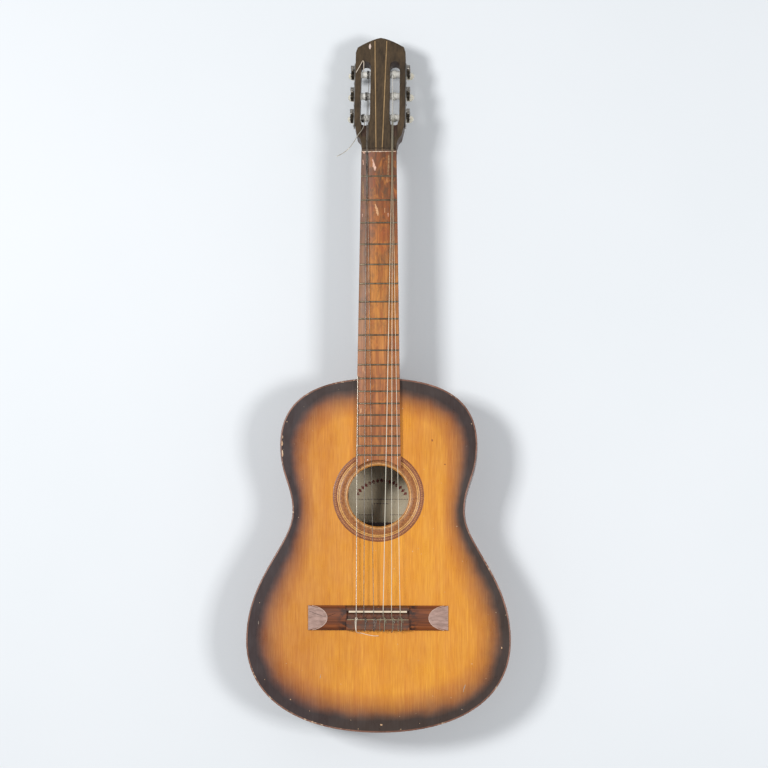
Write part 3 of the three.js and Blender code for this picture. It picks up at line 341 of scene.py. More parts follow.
def rosette_look(name, first, second, dashes=0):
    """Stained wood inlay; with dashes, a fine checked line runs round its middle."""
    look = Look(name, Coat_Weight=0.3, Coat_Roughness=0.18)
    fine = look.noise(look.stretched(520, 520, 520), detail=4)
    colour = look.ramp(fine, (0.36, first), (0.64, second))
    if dashes:
        centre = look.add("Mapping", {"Vector": look.spot,
                                      "Location": (0, -(NUT_LINE - HOLE_AT) / 1000, 0)}).outputs[0]
        turn = look.add("TexGradient", {"Vector": centre}, gradient_type="RADIAL").outputs["Fac"]
        part = look.add("SeparateXYZ", {"Vector": centre})
        far = look.math("SQRT", look.math("ADD", look.math("MULTIPLY", part.outputs["X"], part.outputs["X"]),
                                          look.math("MULTIPLY", part.outputs["Y"], part.outputs["Y"])))
        check = look.math("GREATER_THAN", look.math("SINE", look.math("MULTIPLY", turn, dashes * math.tau)), 0.1)
        line = look.math("LESS_THAN", look.math("ABSOLUTE", look.math("SUBTRACT", far, 0.0611)), 0.0009)
        colour = look.mix(look.math("MULTIPLY", check, line), colour, rgb(190, 132, 78))
    look.set(Base_Color=colour, Roughness=look.span(fine, 0.3, 0.7, 0.32, 0.48))
    look.bump(fine, 0.00003, 0.5)
    return look.material


def label_look():
    """Aged paper with a printed border: an arc of small lozenges and thin dotted rules, and no words."""
    look = Look("label_paper", Roughness=0.85)
    age = look.noise(look.spot, 24, detail=7, roughness=0.65)
    colour = look.ramp(age, (0.32, (232, 212, 176)), (0.66, (250, 236, 206)))
    fibre = look.noise(look.spot, 700, detail=3)
    colour = look.mix(look.span(fibre, 0.4, 0.6, 0.18, 0.0), colour, rgb(150, 136, 116), "MULTIPLY")
    part = look.add("SeparateXYZ", {"Vector": look.spot})
    across = look.math("ABSOLUTE", part.outputs["X"])
    down = look.math("SUBTRACT", (NUT_LINE - HOLE_AT) / 1000, part.outputs["Y"])
    rise = look.math("SUBTRACT", 0.0163, down)
    far = look.math("SQRT", look.math("ADD", look.math("MULTIPLY", across, across),
                                      look.math("MULTIPLY", rise, rise)))
    turn = look.math("ARCTAN2", part.outputs["X"], rise)
    bead = look.math("PINGPONG", look.math("MULTIPLY", turn, 7.0), 0.5)
    off = look.math("MULTIPLY", look.math("ABSOLUTE", look.math("SUBTRACT", far, 0.0413)), 118.0)
    lozenge = look.math("LESS_THAN", look.math("ADD", bead, off), 0.44)
    arc = look.math("MULTIPLY", lozenge, look.math("LESS_THAN", across, 0.0365))
    arc = look.math("MULTIPLY", arc, look.math("LESS_THAN", down, -0.004))
    worn = look.span(look.noise(look.spot, 420, detail=3), 0.38, 0.5, 0.45, 0.95)
    colour = look.mix(look.math("MULTIPLY", arc, worn), colour, rgb(140, 48, 44))
    dots = look.math("GREATER_THAN", look.math("SINE", look.math("MULTIPLY", part.outputs["X"], 2900.0)), -0.2)
    for level, near, end in ((0.002, 0, 0.038), (0.0083, 0, 0.011), (0.0245, 0.012, 0.034)):
        rule = look.math("LESS_THAN", look.math("ABSOLUTE", look.math("SUBTRACT", down, level)), 0.0006)
        rule = look.math("MULTIPLY", rule, look.math("LESS_THAN", across, end))
        rule = look.math("MULTIPLY", rule, look.math("GREATER_THAN", across, near))
        colour = look.mix(look.math("MULTIPLY", look.math("MULTIPLY", rule, dots), 0.9), colour, rgb(92, 56, 50))
    look.set(Base_Color=colour)
    look.bump(fibre, 0.00005, 0.5)
    return look.material


def floor_look():
    look = Look("pale_floor", Roughness=0.75)
    cloud = look.noise(look.spot, 1.5, detail=4)
    look.set(Base_Color=look.ramp(cloud, (0.3, (234, 238, 241)), (0.7, (238, 241, 244))))
    return look.material


SPRUCE = burst_top()
BACK = wood("back_wood", (66, 34, 22), (112, 60, 34), 260, 9, 0.34, 0.4)
SIDES = wood("side_wood", (58, 32, 24), (98, 54, 34), 300, 12, 0.34, 0.4, grain_axis="rim")
EDGE = worn_edge("binding_wood", (98, 62, 46), (150, 104, 84), (206, 178, 150))
INNER = wood("inner_spruce", (176, 142, 98), (206, 176, 130), 380, 10, 0.75, pores=0.1)
BARS = wood("bar_spruce", (170, 136, 92), (204, 172, 126), 420, 12, 0.75, grain_axis="x", pores=0.1)
NECK = wood("neck_wood", (84, 50, 32), (128, 82, 52), 300, 8, 0.36, 0.35)
HEAD_FACE = wood("head_face", (52, 40, 26), (90, 71, 47), 360, 7, 0.42, 0.2, pores=0.5)
HEAD_CORE = wood("head_core", (50, 36, 28), (88, 62, 46), 300, 9, 0.5, 0.1)
INLAY = wood("pale_inlay", (144, 114, 74), (192, 158, 112), 700, 12, 0.45, 0.2, pores=0.15)
BOARD = board_look()
BRIDGE = bridge_look()
RING_DARK = rosette_look("rosette_brown", (130, 73, 30), (173, 108, 46))
RING_PALE = rosette_look("rosette_tan", (206, 144, 68), (234, 178, 100))
RING_EDGE = rosette_look("rosette_edge", (148, 100, 58), (188, 138, 90))
RING_CHECK = rosette_look("rosette_check", (118, 62, 32), (156, 90, 48), dashes=150)
LABEL = label_look()
FRET_METAL = plain("fret_metal", (100, 88, 72), (152, 136, 112), 160, 0.38, 0.75)
PLATE_STEEL = plain("plate_steel", (150, 146, 140), (204, 200, 194), 110, 0.36, 0.9)
SHAFT_STEEL = plain("shaft_steel", (128, 122, 114), (196, 190, 182), 240, 0.34, 0.9)
DARK_GEAR = plain("dark_gear", (40, 34, 28), (84, 74, 60), 220, 0.48, 0.75)
CREAM = plain("button_cream", (222, 214, 192), (236, 230, 214), 45, 0.3, Subsurface_Weight=0.15,
              Subsurface_Radius=(0.004, 0.003, 0.002))
BARREL = plain("roller_white", (214, 210, 200), (236, 234, 228), 70, 0.28)
SADDLE = plain("saddle_white", (230, 210, 180), (246, 232, 208), 90, 0.32)
NYLON = string_look("nylon_string", False)
WOUND = string_look("wound_string", True)
CHIP = plain("bare_chip", (190, 140, 92), (232, 206, 176), 500, 0.7, bump=0.0001)
CHIP_PINK = plain("bare_pink", (206, 150, 126), (236, 200, 178), 400, 0.65, bump=0.0001)
CHIP_TAN = plain("bare_tan", (200, 140, 92), (240, 198, 152), 400, 0.65, bump=0.0001)
BOARD_DULL = plain("board_dull", (118, 88, 58), (176, 136, 94), 420, 0.6)
CHIP_PALE = plain("bare_pale", (214, 190, 176), (240, 224, 212), 400, 0.65, bump=0.0001)
SCUFF = plain("scuff", (150, 128, 112), (186, 168, 150), 600, 0.6)
KNOT = plain("knot_dark", (120, 66, 26), (160, 92, 36), 500, 0.5)
GLUE = plain("pale_glue", (176, 138, 110), (246, 232, 214), 260, 0.7, bump=0.0001)
OLD_GLUE = plain("old_glue", (70, 54, 38), (128, 102, 78), 260, 0.7, bump=0.0001)
# Painted highlight: a pale colour for the bright line along the bridge's facet edges.
RIM_HIGHLIGHT = plain("painted_rim_highlight", (206, 172, 152), (240, 216, 202), 300, 0.45)
# Painted highlight: a pale colour for the bright front edge of the tie block.
TIE_HIGHLIGHT = plain("painted_tie_highlight", (104, 88, 66), (176, 162, 130), 260, 0.45)
WOUND_PALE = plain("wound_pale", (168, 160, 144), (220, 212, 196), 300, 0.3, 0.5)
PALE_TAIL = plain("pale_tail", (226, 206, 182), (246, 234, 216), 260, 0.4)
CRACK = plain("crack_dark", (24, 14, 12), (44, 26, 22), 500, 0.8)


# ---- Mesh code

def piece(name, verts, faces, look, body="body", slot=None, replaces=(), sharp=32, values=None):
    """A mesh object from points in metres, shaded smooth but for edges sharper than the given angle."""
    mesh = bpy.data.meshes.new(name)
    mesh.from_pydata([tuple(v) for v in verts], [], faces)
    tidy = bmesh.new()
    tidy.from_mesh(mesh)
    bmesh.ops.recalc_face_normals(tidy, faces=tidy.faces)
    tidy.to_mesh(mesh)
    tidy.free()
    mesh.polygons.foreach_set("use_smooth", [True] * len(mesh.polygons))
    mesh.set_sharp_from_angle(angle=math.radians(sharp))
    if values is not None:
        layer = mesh.attributes.new("burst", "FLOAT", "POINT")
        layer.data.foreach_set("value", values)
    mesh.materials.append(look)
    thing = bpy.data.objects.new(name, mesh)
    bpy.context.scene.collection.objects.link(thing)
    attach(thing, body)
    if replaces:
        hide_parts(*replaces)
    return thing


def skin(rows, closed=True, cap=True):
    """Faces over rows of points, each row as long as the others."""
    count = len(rows[0])
    faces = []
    for row in range(len(rows) - 1):
        for i in range(count if closed else count - 1):
            j = (i + 1) % count
            faces.append((row * count + i, row * count + j, (row + 1) * count + j, (row + 1) * count + i))
    if cap:
        faces.append(tuple(range(count)))
        faces.append(tuple(range((len(rows) - 1) * count, len(rows) * count)))
    return [p for row in rows for p in row], faces


def joined(parts):
    """One list of points and faces from several."""
    verts, faces = [], []
    for more_verts, more_faces in parts:
        start = len(verts)
        verts += more_verts
        faces += [tuple(i + start for i in face) for face in more_faces]
    return verts, faces


def rounded(points, radius, steps=5):
    """A row of points whose corners are turned into short curves."""
    line = [points[0]]
    for before, corner, after in zip(points, points[1:], points[2:]):
        into, out = before - corner, after - corner
        reach = min(radius, into.length * 0.45, out.length * 0.45)
        start, end = corner + into.normalized() * reach, corner + out.normalized() * reach
        for i in range(steps + 1):
            t = i / steps
            line.append(start * (1 - t) ** 2 + corner * (2 * t * (1 - t)) + end * t ** 2)
    line.append(points[-1])
    return line


def smooth_route(points, spacing):
    """The curve through the points that the solids' cords follow, sampled at an even spacing."""
    points = [Vector(p) for p in points]
    ends = [points[0] * 2 - points[1]] + points + [points[-1] * 2 - points[-2]]
    line = []
    for p0, p1, p2, p3 in zip(ends, ends[1:], ends[2:], ends[3:]):
        d0, d1, d2 = [(b - a).length ** 0.5 for a, b in ((p0, p1), (p1, p2), (p2, p3))]
        t1 = ((p1 - p0) / d0 - (p2 - p0) / (d0 + d1) + (p2 - p1) / d1) * d1
        t2 = ((p2 - p1) / d1 - (p3 - p1) / (d1 + d2) + (p3 - p2) / d2) * d1
        steps = max(2, math.ceil((p2 - p1).length / spacing))
        for i in range(steps):
            t = i / steps
            line.append(p1 * (2 * t ** 3 - 3 * t ** 2 + 1) + t1 * (t ** 3 - 2 * t ** 2 + t)
                        + p2 * (3 * t ** 2 - 2 * t ** 3) + t2 * (t ** 3 - t ** 2))
    return line + [points[-1]]


def tube(name, line, wide, look, body="body", slot=None, replaces=(), sides=10, pitch=0.00022):
    """A round string of a given width in millimetres along a line in metres, with rounded ends."""
    radius = wide / 2000
    side = Vector((1, 0, 0))
    rows, lengths, run = [], [], 0
    for i, point in enumerate(line):
        along = (line[min(i + 1, len(line) - 1)] - line[max(i - 1, 0)]).normalized()
        side = side - along * side.dot(along)
        if side.length < 1e-3:
            side = along.orthogonal()
        side.normalize()
        up = along.cross(side)
        run += (point - line[i - 1]).length if i else 0
        rings = [(0, 1)]
        if i == 0:
            rings = [(-0.9, 0.4), (-0.6, 0.8), (0, 1)]
        if i == len(line) - 1:
            rings = [(0, 1), (0.6, 0.8), (0.9, 0.4)]
        for shift, grow in rings:
            rows.append([point + along * (radius * shift)
                         + (side * math.cos(a) + up * math.sin(a)) * (radius * grow)
                         for a in (math.tau * k / sides for k in range(sides))])
            lengths.append(run)
    verts, faces = skin(rows)
    thing = piece(name, verts, faces, look, body, slot, replaces, sharp=60)
    layer = thing.data.uv_layers.new(name="UVMap")
    for face in thing.data.polygons:
        around = [v % sides for v in face.vertices]
        wraps = max(around) - min(around) > sides / 2
        for corner, k in zip(face.loop_indices, around):
            share = (k + sides if wraps and k < sides / 2 else k) / sides
            vertex = thing.data.loops[corner].vertex_index
            layer.data[corner].uv = (lengths[vertex // sides] / pitch / 10, share)
    return thing


# ---- Cords: the two free lengths of the snapped sixth string

over = FACE + SADDLE_TOP + STRING_WIDE[5] / 2 + STRING_GAP
rest = BOARD_TOP + FRET_HIGH + STRING_WIDE[5] / 2 + STRING_GAP
hole_level = BOARD_LOW + TIE_HOLE
LOWER_ROUTE = [(-30.1, 664, hole_level), (-30.1, 660.2, hole_level), (-30.1, 654, over - 0.4),
               (-30.1, 652, over), (-30.1, 650, over - 0.1)]
for share in (0.25, 0.5, 0.75):
    station = SADDLE_AT + (fret_station(19) - SADDLE_AT) * share
    LOWER_ROUTE.append((-30.1, station, over + (rest - over) * share - 2.2 * 4 * share * (1 - share)))
LOWER_ROUTE += [(-29.9, fret_station(19), rest), (-29.6, fret_station(17), rest),
                (-29.3, fret_station(15), rest), (-29.1, 322, rest + 0.3)]
STUB_ROUTE = [(-21.5, 53.5, -2.6), (-21.2, 46.6, -1.6), (-22.3, 36, 1), (-25, 28, 3), (-29.3, 21, 4.4),
              (-33.3, 13, 5.2), (-37.5, 5.5, 5.4), (-42.5, -1.5, 5), (-48.5, -7, 4.2),
              (-54.5, -10.6, 3.2), (-60, -12.8, 2)]


def free_string(name, line):
    thing = tube(name, line, STRING_WIDE[5], WOUND_PALE, slot="wound_string", replaces=[name])
    length = sum((b - a).length for a, b in zip(line, line[1:]))
    tuple(line[0])
    [tuple(p) for p in line]


free_string("string_6_lower", smooth_route([at(*p) for p in LOWER_ROUTE], 0.002))
free_string("string_6_stub", smooth_route([on_head(*p) for p in STUB_ROUTE], 0.0012))


# ---- Body

BOUTS = [[(0, 324), (103, 324), (139.1, 363), (139.1, 417.4)],
         [(139.1, 417.4), (139.1, 463.5), (121.2, 474.4), (121.2, 512.5)],
         [(121.2, 512.5), (121.2, 558.7), (185.4, 604.8), (185.4, 691.7)],
         [(185.4, 691.7), (185.4, 775.3), (109, 819.8), (0, 819.8)]]


def half_outline(steps=44):
    """Points and inward normals of the treble half, from the neck joint to the tail."""
    points, normals = [], []
    for curve in BOUTS:
        a, b, c, d = [np.array(p, float) for p in curve]
        for i in range(0 if not points else 1, steps + 1):
            t = i / steps
            points.append(a * (1 - t) ** 3 + b * 3 * t * (1 - t) ** 2 + c * 3 * t ** 2 * (1 - t) + d * t ** 3)
            slope = (b - a) * 3 * (1 - t) ** 2 + (c - b) * 6 * t * (1 - t) + (d - c) * 3 * t ** 2
            slope /= np.linalg.norm(slope)
            normals.append(np.array([-slope[1], slope[0]]))
    return np.array(points), np.array(normals)


HALF, HALF_IN = half_outline()
LOOP = np.vstack([HALF, (HALF * [-1, 1])[-2:0:-1]])
LOOP_IN = np.vstack([HALF_IN, (HALF_IN * [-1, 1])[-2:0:-1]])


def edge_distance(points):
    """How far each point (x, station) lies from the outline, in millimetres."""
    start, end = LOOP, np.roll(LOOP, -1, axis=0)
    span = end - start
    result = np.empty(len(points))
    for k, point in enumerate(points):
        share = np.clip(((point - start) * span).sum(1) / (span ** 2).sum(1), 0, 1)
        result[k] = np.linalg.norm(start + span * share[:, None] - point, axis=1).min()
    return result


def hoop(profile, base=None, inward=None):
    """Rows of points round the outline: at each of its points the profile's (inset, level) pairs."""
    base = LOOP if base is None else base
    inward = LOOP_IN if inward is None else inward
    return [[at(*(p + n * inset), level) for inset, level in profile] for p, n in zip(base, inward)]


def plate(name, levels, look, replaces, slot, hole=False, radii=()):
    """A flat plate inside the bindings, as rings of points round the soundhole's centre."""
    low, high = levels
    rim = LOOP + LOOP_IN * 2.3
    centre = np.array([0, HOLE_AT])
    reach = np.linalg.norm(rim - centre, axis=1)
    heading = (rim - centre) / reach[:, None]
    rings = list(radii)
    start = rings[-1][0]
    steps = 30
    rows = [[(centre + heading[i] * r, z) for i in range(len(rim))] for r, z in rings]
    for step in range(1, steps + 1):
        share = 1 - (1 - step / steps) ** 1.6
        rows.append([(centre + heading[i] * (start + (reach[i] - start) * share), high)
                     for i in range(len(rim))])
    rows.append([(rim[i], low) for i in range(len(rim))])
    rows.append([(centre + heading[i] * rings[0][0], low) for i in range(len(rim))])
    flat = [spot for row in rows for spot in row]
    verts, faces = skin([[at(*p, z) for p, z in row] for row in rows], cap=False)
    if hole:
        count = len(rim)
        last = (len(rows) - 1) * count
        faces += [(last + i, last + (i + 1) % count, (i + 1) % count, i) for i in range(count)]
    else:
        count = len(rim)
        faces += [tuple(range(count)), tuple(range((len(rows) - 1) * count, len(rows) * count))]
    distance = edge_distance(np.array([p for p, _ in flat]))
    stations = np.array([p[1] for p, _ in flat])
    waist = np.exp(-((stations - 505) / 70) ** 2)
    values = np.clip(distance * (1 + 0.75 * waist) / 58, 0, 1)
    return piece(name, verts, faces, look, slot=slot, replaces=replaces, values=values)


groove = FACE - 1.2
plate("top_plate", (FACE - 2.4, FACE), SPRUCE, ["soundboard"], "top_wood", hole=True,
      radii=[(HOLE_RADIUS, FACE - 2.2), (HOLE_RADIUS, FACE - 0.4), (HOLE_RADIUS + 0.4, FACE),
             (RINGS[0] - 0.01, FACE), (RINGS[0], groove), (RINGS[3], groove), (RINGS[3] + 0.01, FACE)])
plate("back_plate_skin", (2.6, 0), BACK, ["back_plate"], "back_wood", radii=[(4, 0), (30, 0)])


def corner_profile(outer, inner, low, high, round_high):
    """A strip's section with its outer corner rounded at the top or at the bottom."""
    bend = 1.3
    arc = [(outer + bend * (1 - math.sin(a)), high - bend * (1 - math.cos(a)))
           for a in (math.pi / 2 * k / 6 for k in range(7))]
    if not round_high:
        arc = [(x, low + high - z) for x, z in arc]
        return [(inner, low), *arc, (outer, high), (inner, high)]
    return [(inner, high), *arc, (outer, low), (inner, low)]


def closed_hoop(name, profile, look, replaces, slot):
    rows = hoop(profile)
    verts, faces = skin(rows + [rows[0]], cap=False)
    count = len(profile)
    total = len(rows) * count
    verts = verts[:total]
    faces = [tuple(i % total for i in face) for face in faces]
    return piece(name, verts, faces, look, slot=slot, replaces=replaces, sharp=40)


closed_hoop("top_edge", corner_profile(0, 2.2, 90, 95, True), EDGE, ["top_binding"], "binding")
closed_hoop("back_edge", corner_profile(0, 2.2, 0, 5, False), EDGE, ["back_binding"], "binding")
for name, side in (("rib_treble", 1), ("rib_bass", -1)):
    base = HALF * [side, 1]
    base[0][0] = base[-1][0] = side * 0.05
    rows = hoop([(0, 5.1), (0, 89.9), (2, 89.9), (2, 5.1)], base, HALF_IN * [side, 1])
    piece(name + "_bent", *skin(rows), SIDES, slot="side_wood", replaces=[name])


def ring_inlay(name, inner, outer, look, replaces, slot, depth=1.1, proud=0.0, count=200):
    """One inlaid ring of the rosette, eased at both edges."""
    profile = [(inner, -depth), (inner, proud - 0.05), (inner + 0.15, proud), (outer - 0.15, proud),
               (outer, proud - 0.05), (outer, -depth)]
    rows = []
    for k in range(count):
        a = math.tau * k / count
        rows.append([at(r * math.cos(a), HOLE_AT + r * math.sin(a), FACE + z) for r, z in profile])
    verts, faces = skin(rows + [rows[0]], cap=False)
    total = count * len(profile)
    piece(name, verts[:total], [tuple(i % total for i in f) for f in faces], look, slot=slot,
          replaces=replaces, sharp=40)


ring_inlay("rosette_inner", RINGS[0] + 0.1, RINGS[1] - 0.05, RING_DARK, ["rosette_inner_ring"], "rosette_brown")
ring_inlay("rosette_outer", RINGS[2] + 0.05, RINGS[3] - 0.1, RING_CHECK, ["rosette_outer_ring"], "rosette_brown")
ring_inlay("rosette_edge_in", 43.5, 44.6, RING_DARK, [], "rosette_brown", 0.02, 0.07)
ring_inlay("rosette_edge_line", 44.6, 45.6, RING_PALE, [], "rosette_tan", 0.02, 0.08)
ring_inlay("rosette_edge_out", 45.6, 47.4, RING_EDGE, [], "rosette_tan", 0.02, 0.07)
ring_inlay("rosette_line_1", RINGS[1] + 0.05, RINGS[1] + 1.25, RING_PALE, ["rosette_middle_ring"], "rosette_tan")
ring_inlay("rosette_line_2", RINGS[1] + 1.3, RINGS[1] + 2.25, RING_DARK, [], "rosette_brown")
ring_inlay("rosette_line_3", RINGS[1] + 2.3, RINGS[2] - 0.05, RING_PALE, [], "rosette_tan")


def beam(low, high, slide=0.0):
    """A bar with its free long edges taken off, leaning by slide over its length."""
    (x0, s0, z0), (x1, s1, z1) = low, high
    cut = 1.5
    rows = []
    long_x = x1 - x0 > s1 - s0
    for end in (0, 1):
        if long_x:
            x = (x0, x1)[end]
            section = [(x, s0, z1), (x, s0, z0 + cut), (x, s0 + cut, z0), (x, s1 - cut, z0),
                       (x, s1, z0 + cut), (x, s1, z1)]
        else:
            s = (s0, s1)[end]
            lean = slide * end
            section = [(x0 + lean, s, z1), (x0 + lean, s, z0 + cut), (x0 + lean + cut, s, z0),
                       (x1 + lean - cut, s, z0), (x1 + lean, s, z0 + cut), (x1 + lean, s, z1)]
        rows.append([at(*p) for p in section])
    return skin(rows)


def inside_half(station, inset):
    edge = HALF + HALF_IN * inset
    return float(np.interp(station, edge[:, 1], edge[:, 0]))


def label_sheet():
    """The paper label glued inside the back, a little cockled."""
    top_row, length, half = HOLE_AT - 49.5, 85.0, 48.0
    rows, under = [], []
    for i in range(31):
        station = top_row + length * i / 30
        row = []
        for k in range(33):
            x = half * (2 * k / 32 - 1)
            rise = 0.25 + 0.2 * math.sin(x * 0.11 + station * 0.05) * math.sin(station * 0.09 + 1)
            row.append(at(x, station, 2.75 + rise))
        rows.append(row)
        under.append([at(-half, station, 2.62), at(half, station, 2.62)])
    loops = [[low[0]] + row + [low[1]] for row, low in zip(rows, under)]
    piece("label_sheet", *skin(loops), LABEL, slot="label_paper", replaces=["label"], sharp=60)


label_sheet()

struts = []
for i in range(-2, 3):
    struts.append(beam((26 * i - 2.5, 568, 86.6), (26 * i + 2.5, 768, 92.6), slide=17 * i))
piece("fan_struts", *joined(struts), BARS, slot="inner_wood")
bars = []
for station in (392, 556, 704):
    half = min(inside_half(station - 4, 8.6), inside_half(station + 4, 8.6))
    verts, faces = beam((-half, station - 4, -16.6), (half, station + 4, -2.6))
    bars.append(([Vector((v.x, v.y, -v.z)) for v in verts], faces))
piece("back_bars", *joined(bars), BARS, slot="inner_wood")


# ---- Fingerboard and frets

def fingerboard():
    end_half = board_half(HOLE_AT - BOARD_ARC)
    turn = math.asin(end_half / BOARD_ARC)
    corner = HOLE_AT - BOARD_ARC * math.cos(turn)
    outline = [(-25, 0)] + [(-board_half(s), s) for s in np.linspace(30, corner, 12)]
    for k in range(1, 24):
        a = turn * (-1 + 2 * k / 24)
        outline.append((BOARD_ARC * math.sin(a), HOLE_AT - BOARD_ARC * math.cos(a)))
    outline += [(board_half(s), s) for s in np.linspace(corner, 30, 12)] + [(25, 0)]
    ease = 0.35
    inner = [(x * (1 - ease / 26), min(max(s, ease), s)) for x, s in outline]
    rows = [[at(x, s, BOARD_LOW) for x, s in outline], [at(x, s, BOARD_TOP - ease) for x, s in outline],
            [at(x, s, BOARD_TOP) for x, s in inner]]
    piece("board", *skin(rows), BOARD, slot="fingerboard_wood", replaces=["fingerboard"], sharp=50)
    wires = []
    for number in range(1, FRETS + 1):
        station = fret_station(number)
        half = board_half(station) - 0.3
        rows = []
        for x, grow in ((-half, 0.25), (-half + 0.5, 0.8), (-half + 1.1, 1), (half - 1.1, 1),
                        (half - 0.5, 0.8), (half, 0.25)):
            rows.append([at(x, station + FRET_WIDE / 2 * math.cos(a),
                            BOARD_TOP - 0.02 + FRET_HIGH * grow * math.sin(a))
                         for a in (math.pi * k / 10 for k in range(11))])
        wires.append(skin(rows))
    piece("frets", *joined(wires), FRET_METAL, slot="plate_steel", sharp=50)


fingerboard()


# ---- Neck

def neck_section(station, half, depth, squareness, heel_share, count=36):
    points = []
    for i in range(count + 1):
        a = i / count * math.pi
        across = math.copysign(abs(math.cos(a)) ** (2 / squareness), math.cos(a))
        down = max(0, math.sin(a)) ** (2 / squareness)
        pinch = 13 / half + (1 - 13 / half) * (1 - down) ** 2
        heel_across = math.copysign(min(1, abs(math.cos(a)) * 6), math.cos(a)) * pinch
        x = half * (across + (heel_across - across) * heel_share)
        points.append(Vector((x, station, FACE - depth * down)))
    return points


def neck():
    start, end = 324 - 0.3 - 80, 324 - 0.3
    keys = [neck_section(-NUT_SEAT, 25, 19, 7, 0), neck_section(6, board_half(6), 18, 4, 0),
            neck_section(20, board_half(20), 15, 2.4, 0), neck_section(start, board_half(start), 18, 2.2, 0)]
    for point in keys[0]:
        point.y -= (point.z - FACE) * math.tan(HEAD_TILT)
    rows = []
    for k, (first, second) in enumerate(zip(keys, keys[1:])):
        steps = 6 if k < 2 else 14
        for i in range(steps):
            t = i / steps
            t = t if k != 1 else t * t * (3 - 2 * t)
            rows.append([a.lerp(b, t) for a, b in zip(first, second)])
    full = FACE - 2.7
    heel_steps = 22
    for i in range(heel_steps + 1):
        a = i / heel_steps * math.pi / 2
        drop = 1 - math.cos(a)
        station = start + 65 * math.sin(a)
        rows.append(neck_section(station, board_half(station), 18 + (full - 18) * drop, 2.2, math.sqrt(drop)))
    rows.append(neck_section(end, board_half(end), full, 2.2, 1))
    rows = [[at(*p) for p in row] for row in rows]
    piece("neck_shaft", *skin(rows), NECK, slot="neck_wood", replaces=["neck"], sharp=45)


neck()


# ---- Strings, their loops at the bridge and their turns on the rollers

def tie_route(index):
    radius = STRING_WIDE[index] / 2
    x = AT_SADDLE[index]
    top = FACE + SADDLE_TOP + radius + STRING_GAP
    rear, front = BRIDGE_FRONT + BRIDGE_RUN, BRIDGE_FRONT + TIE_FROM
    above = BOARD_LOW + TIE_HIGH + radius + STRING_GAP
    return [(x, SADDLE_AT, top), (x, SADDLE_AT + 1.3, top - 0.3), (x, front - 1.8, hole_level),
            (x, rear + 0.3, hole_level), (x + 0.57, rear + 1.8, hole_level + 1.8),
            (x + 1.33, rear + 0.9, above - 0.3), (x + 1.9, rear - 1.8, above), (x + 1.9, front + 0.3, above),
            (x + 1.71, front - 1.4, above - 0.9), (x + 1.52, front - 1.8, above - 3)]


for index in range(5):
    radius = STRING_WIDE[index] / 2
    order = index if AT_NUT[index] > 0 else 5 - index
    station = ROLLERS_AT[order]
    wrap = ROLLER_RADIUS + radius + STRING_GAP
    x = AT_ROLLER[index]
    line = [on_head(x, station + wrap * math.sin(a), -ROLLER_DEPTH + wrap * math.cos(a))
            for a in (math.pi / 2 * (1 - k / 8) for k in range(9))]
    line += [at(AT_NUT[index], -0.4, BOARD_TOP + radius + STRING_GAP + 0.2),
             at(AT_NUT[index], fret_station(1), BOARD_TOP + FRET_HIGH + radius + STRING_GAP)]
    line += rounded([at(*p) for p in tie_route(index)], 0.0011)
    name = f"string_{index + 1}"
    tube(name + "_wire", line, STRING_WIDE[index], NYLON if index < 3 else WOUND,
         slot="nylon_string" if index < 3 else "wound_string", replaces=[name])
    side = 1 if x > 0 else -1
    turns = 4 if index < 3 else 3.5
    coil = []
    steps = int(turns * 28)
    for k in range(steps + 1):
        a = math.pi / 2 + math.tau * turns * k / steps
        coil.append(on_head(x + side * STRING_WIDE[index] * 1.06 * turns * k / steps,
                            station + wrap * math.sin(a), -ROLLER_DEPTH + wrap * math.cos(a)))
    number = order + 1 if side > 0 else order + 4
    tube(f"winding_{number}", coil, STRING_WIDE[index], NYLON if index < 3 else WOUND,
         body=f"spool_{number}", slot="nylon_string" if index < 3 else "wound_string")


# ---- Rollers and buttons

def lathe(profile, sides, place, flatten=1.0):
    """Points and faces of a turned piece: (distance along its axis, radius) pairs."""
    rows = []
    for along, radius in profile:
        rows.append([place(along, radius * math.cos(a) * flatten, radius * math.sin(a))
                     for a in (math.tau * k / sides for k in range(sides))])
    return skin(rows)


def barrel(number):
    side = 1 if number < 4 else -1
    station = ROLLERS_AT[(number - 1) % 3]

    def place(along, u, w):
        return on_head(side * along, station + u, w - ROLLER_DEPTH)

    barrel_rows = [(8, 2.6), (8.4, 3), (14, 3), (14.1, 4.7), (14.4, 5), (17, 5), (17.3, 4.9), (33, 4.9),
                   (35.4, 5), (35.7, 4.7)]
    piece(f"barrel_{number}", *lathe(barrel_rows, 36, place), BARREL, body=f"spool_{number}",
          slot="roller_plastic", replaces=[f"roller_{number}"], sharp=50)
    shaft = [(35.6, 2.4), (42.62, 2.4), (42.65, 3.4), (43.1, 3.3), (43.5, 2.7), (43.62, 1.6)]
    piece(f"gear_pin_{number}", *lathe(shaft, 28, place), SHAFT_STEEL, body=f"spool_{number}",
          slot="plate_steel", sharp=40)


def button(number):
    side = 1 if number < 4 else -1
    station = ROLLERS_AT[(number - 1) % 3] + KEY_FROM_ROLLER
    top = -ROLLER_DEPTH - 7.5 - 2.5

    def place(along, across, over):
        return on_head(side * KEY_PLANE + over, station + across, top - 9.5 + along)

    key = [(-9.5, 0.2), (-9.3, 2.3), (-8.55, 4.5), (-6.5, 6.2), (-3.3, 7.4), (0, 7.45),
           (2.4, 7.0), (4.6, 5.3), (6.65, 3.2), (8, 2.9), (9.5, 2.8)]
    piece(f"button_cap_{number}", *lathe(key, 40, place, 9 / 15), CREAM, body=f"key_{number}",
          slot="button_plastic", replaces=[f"button_{number}"], sharp=60)


for number in range(1, 7):
    barrel(number)
    button(number)
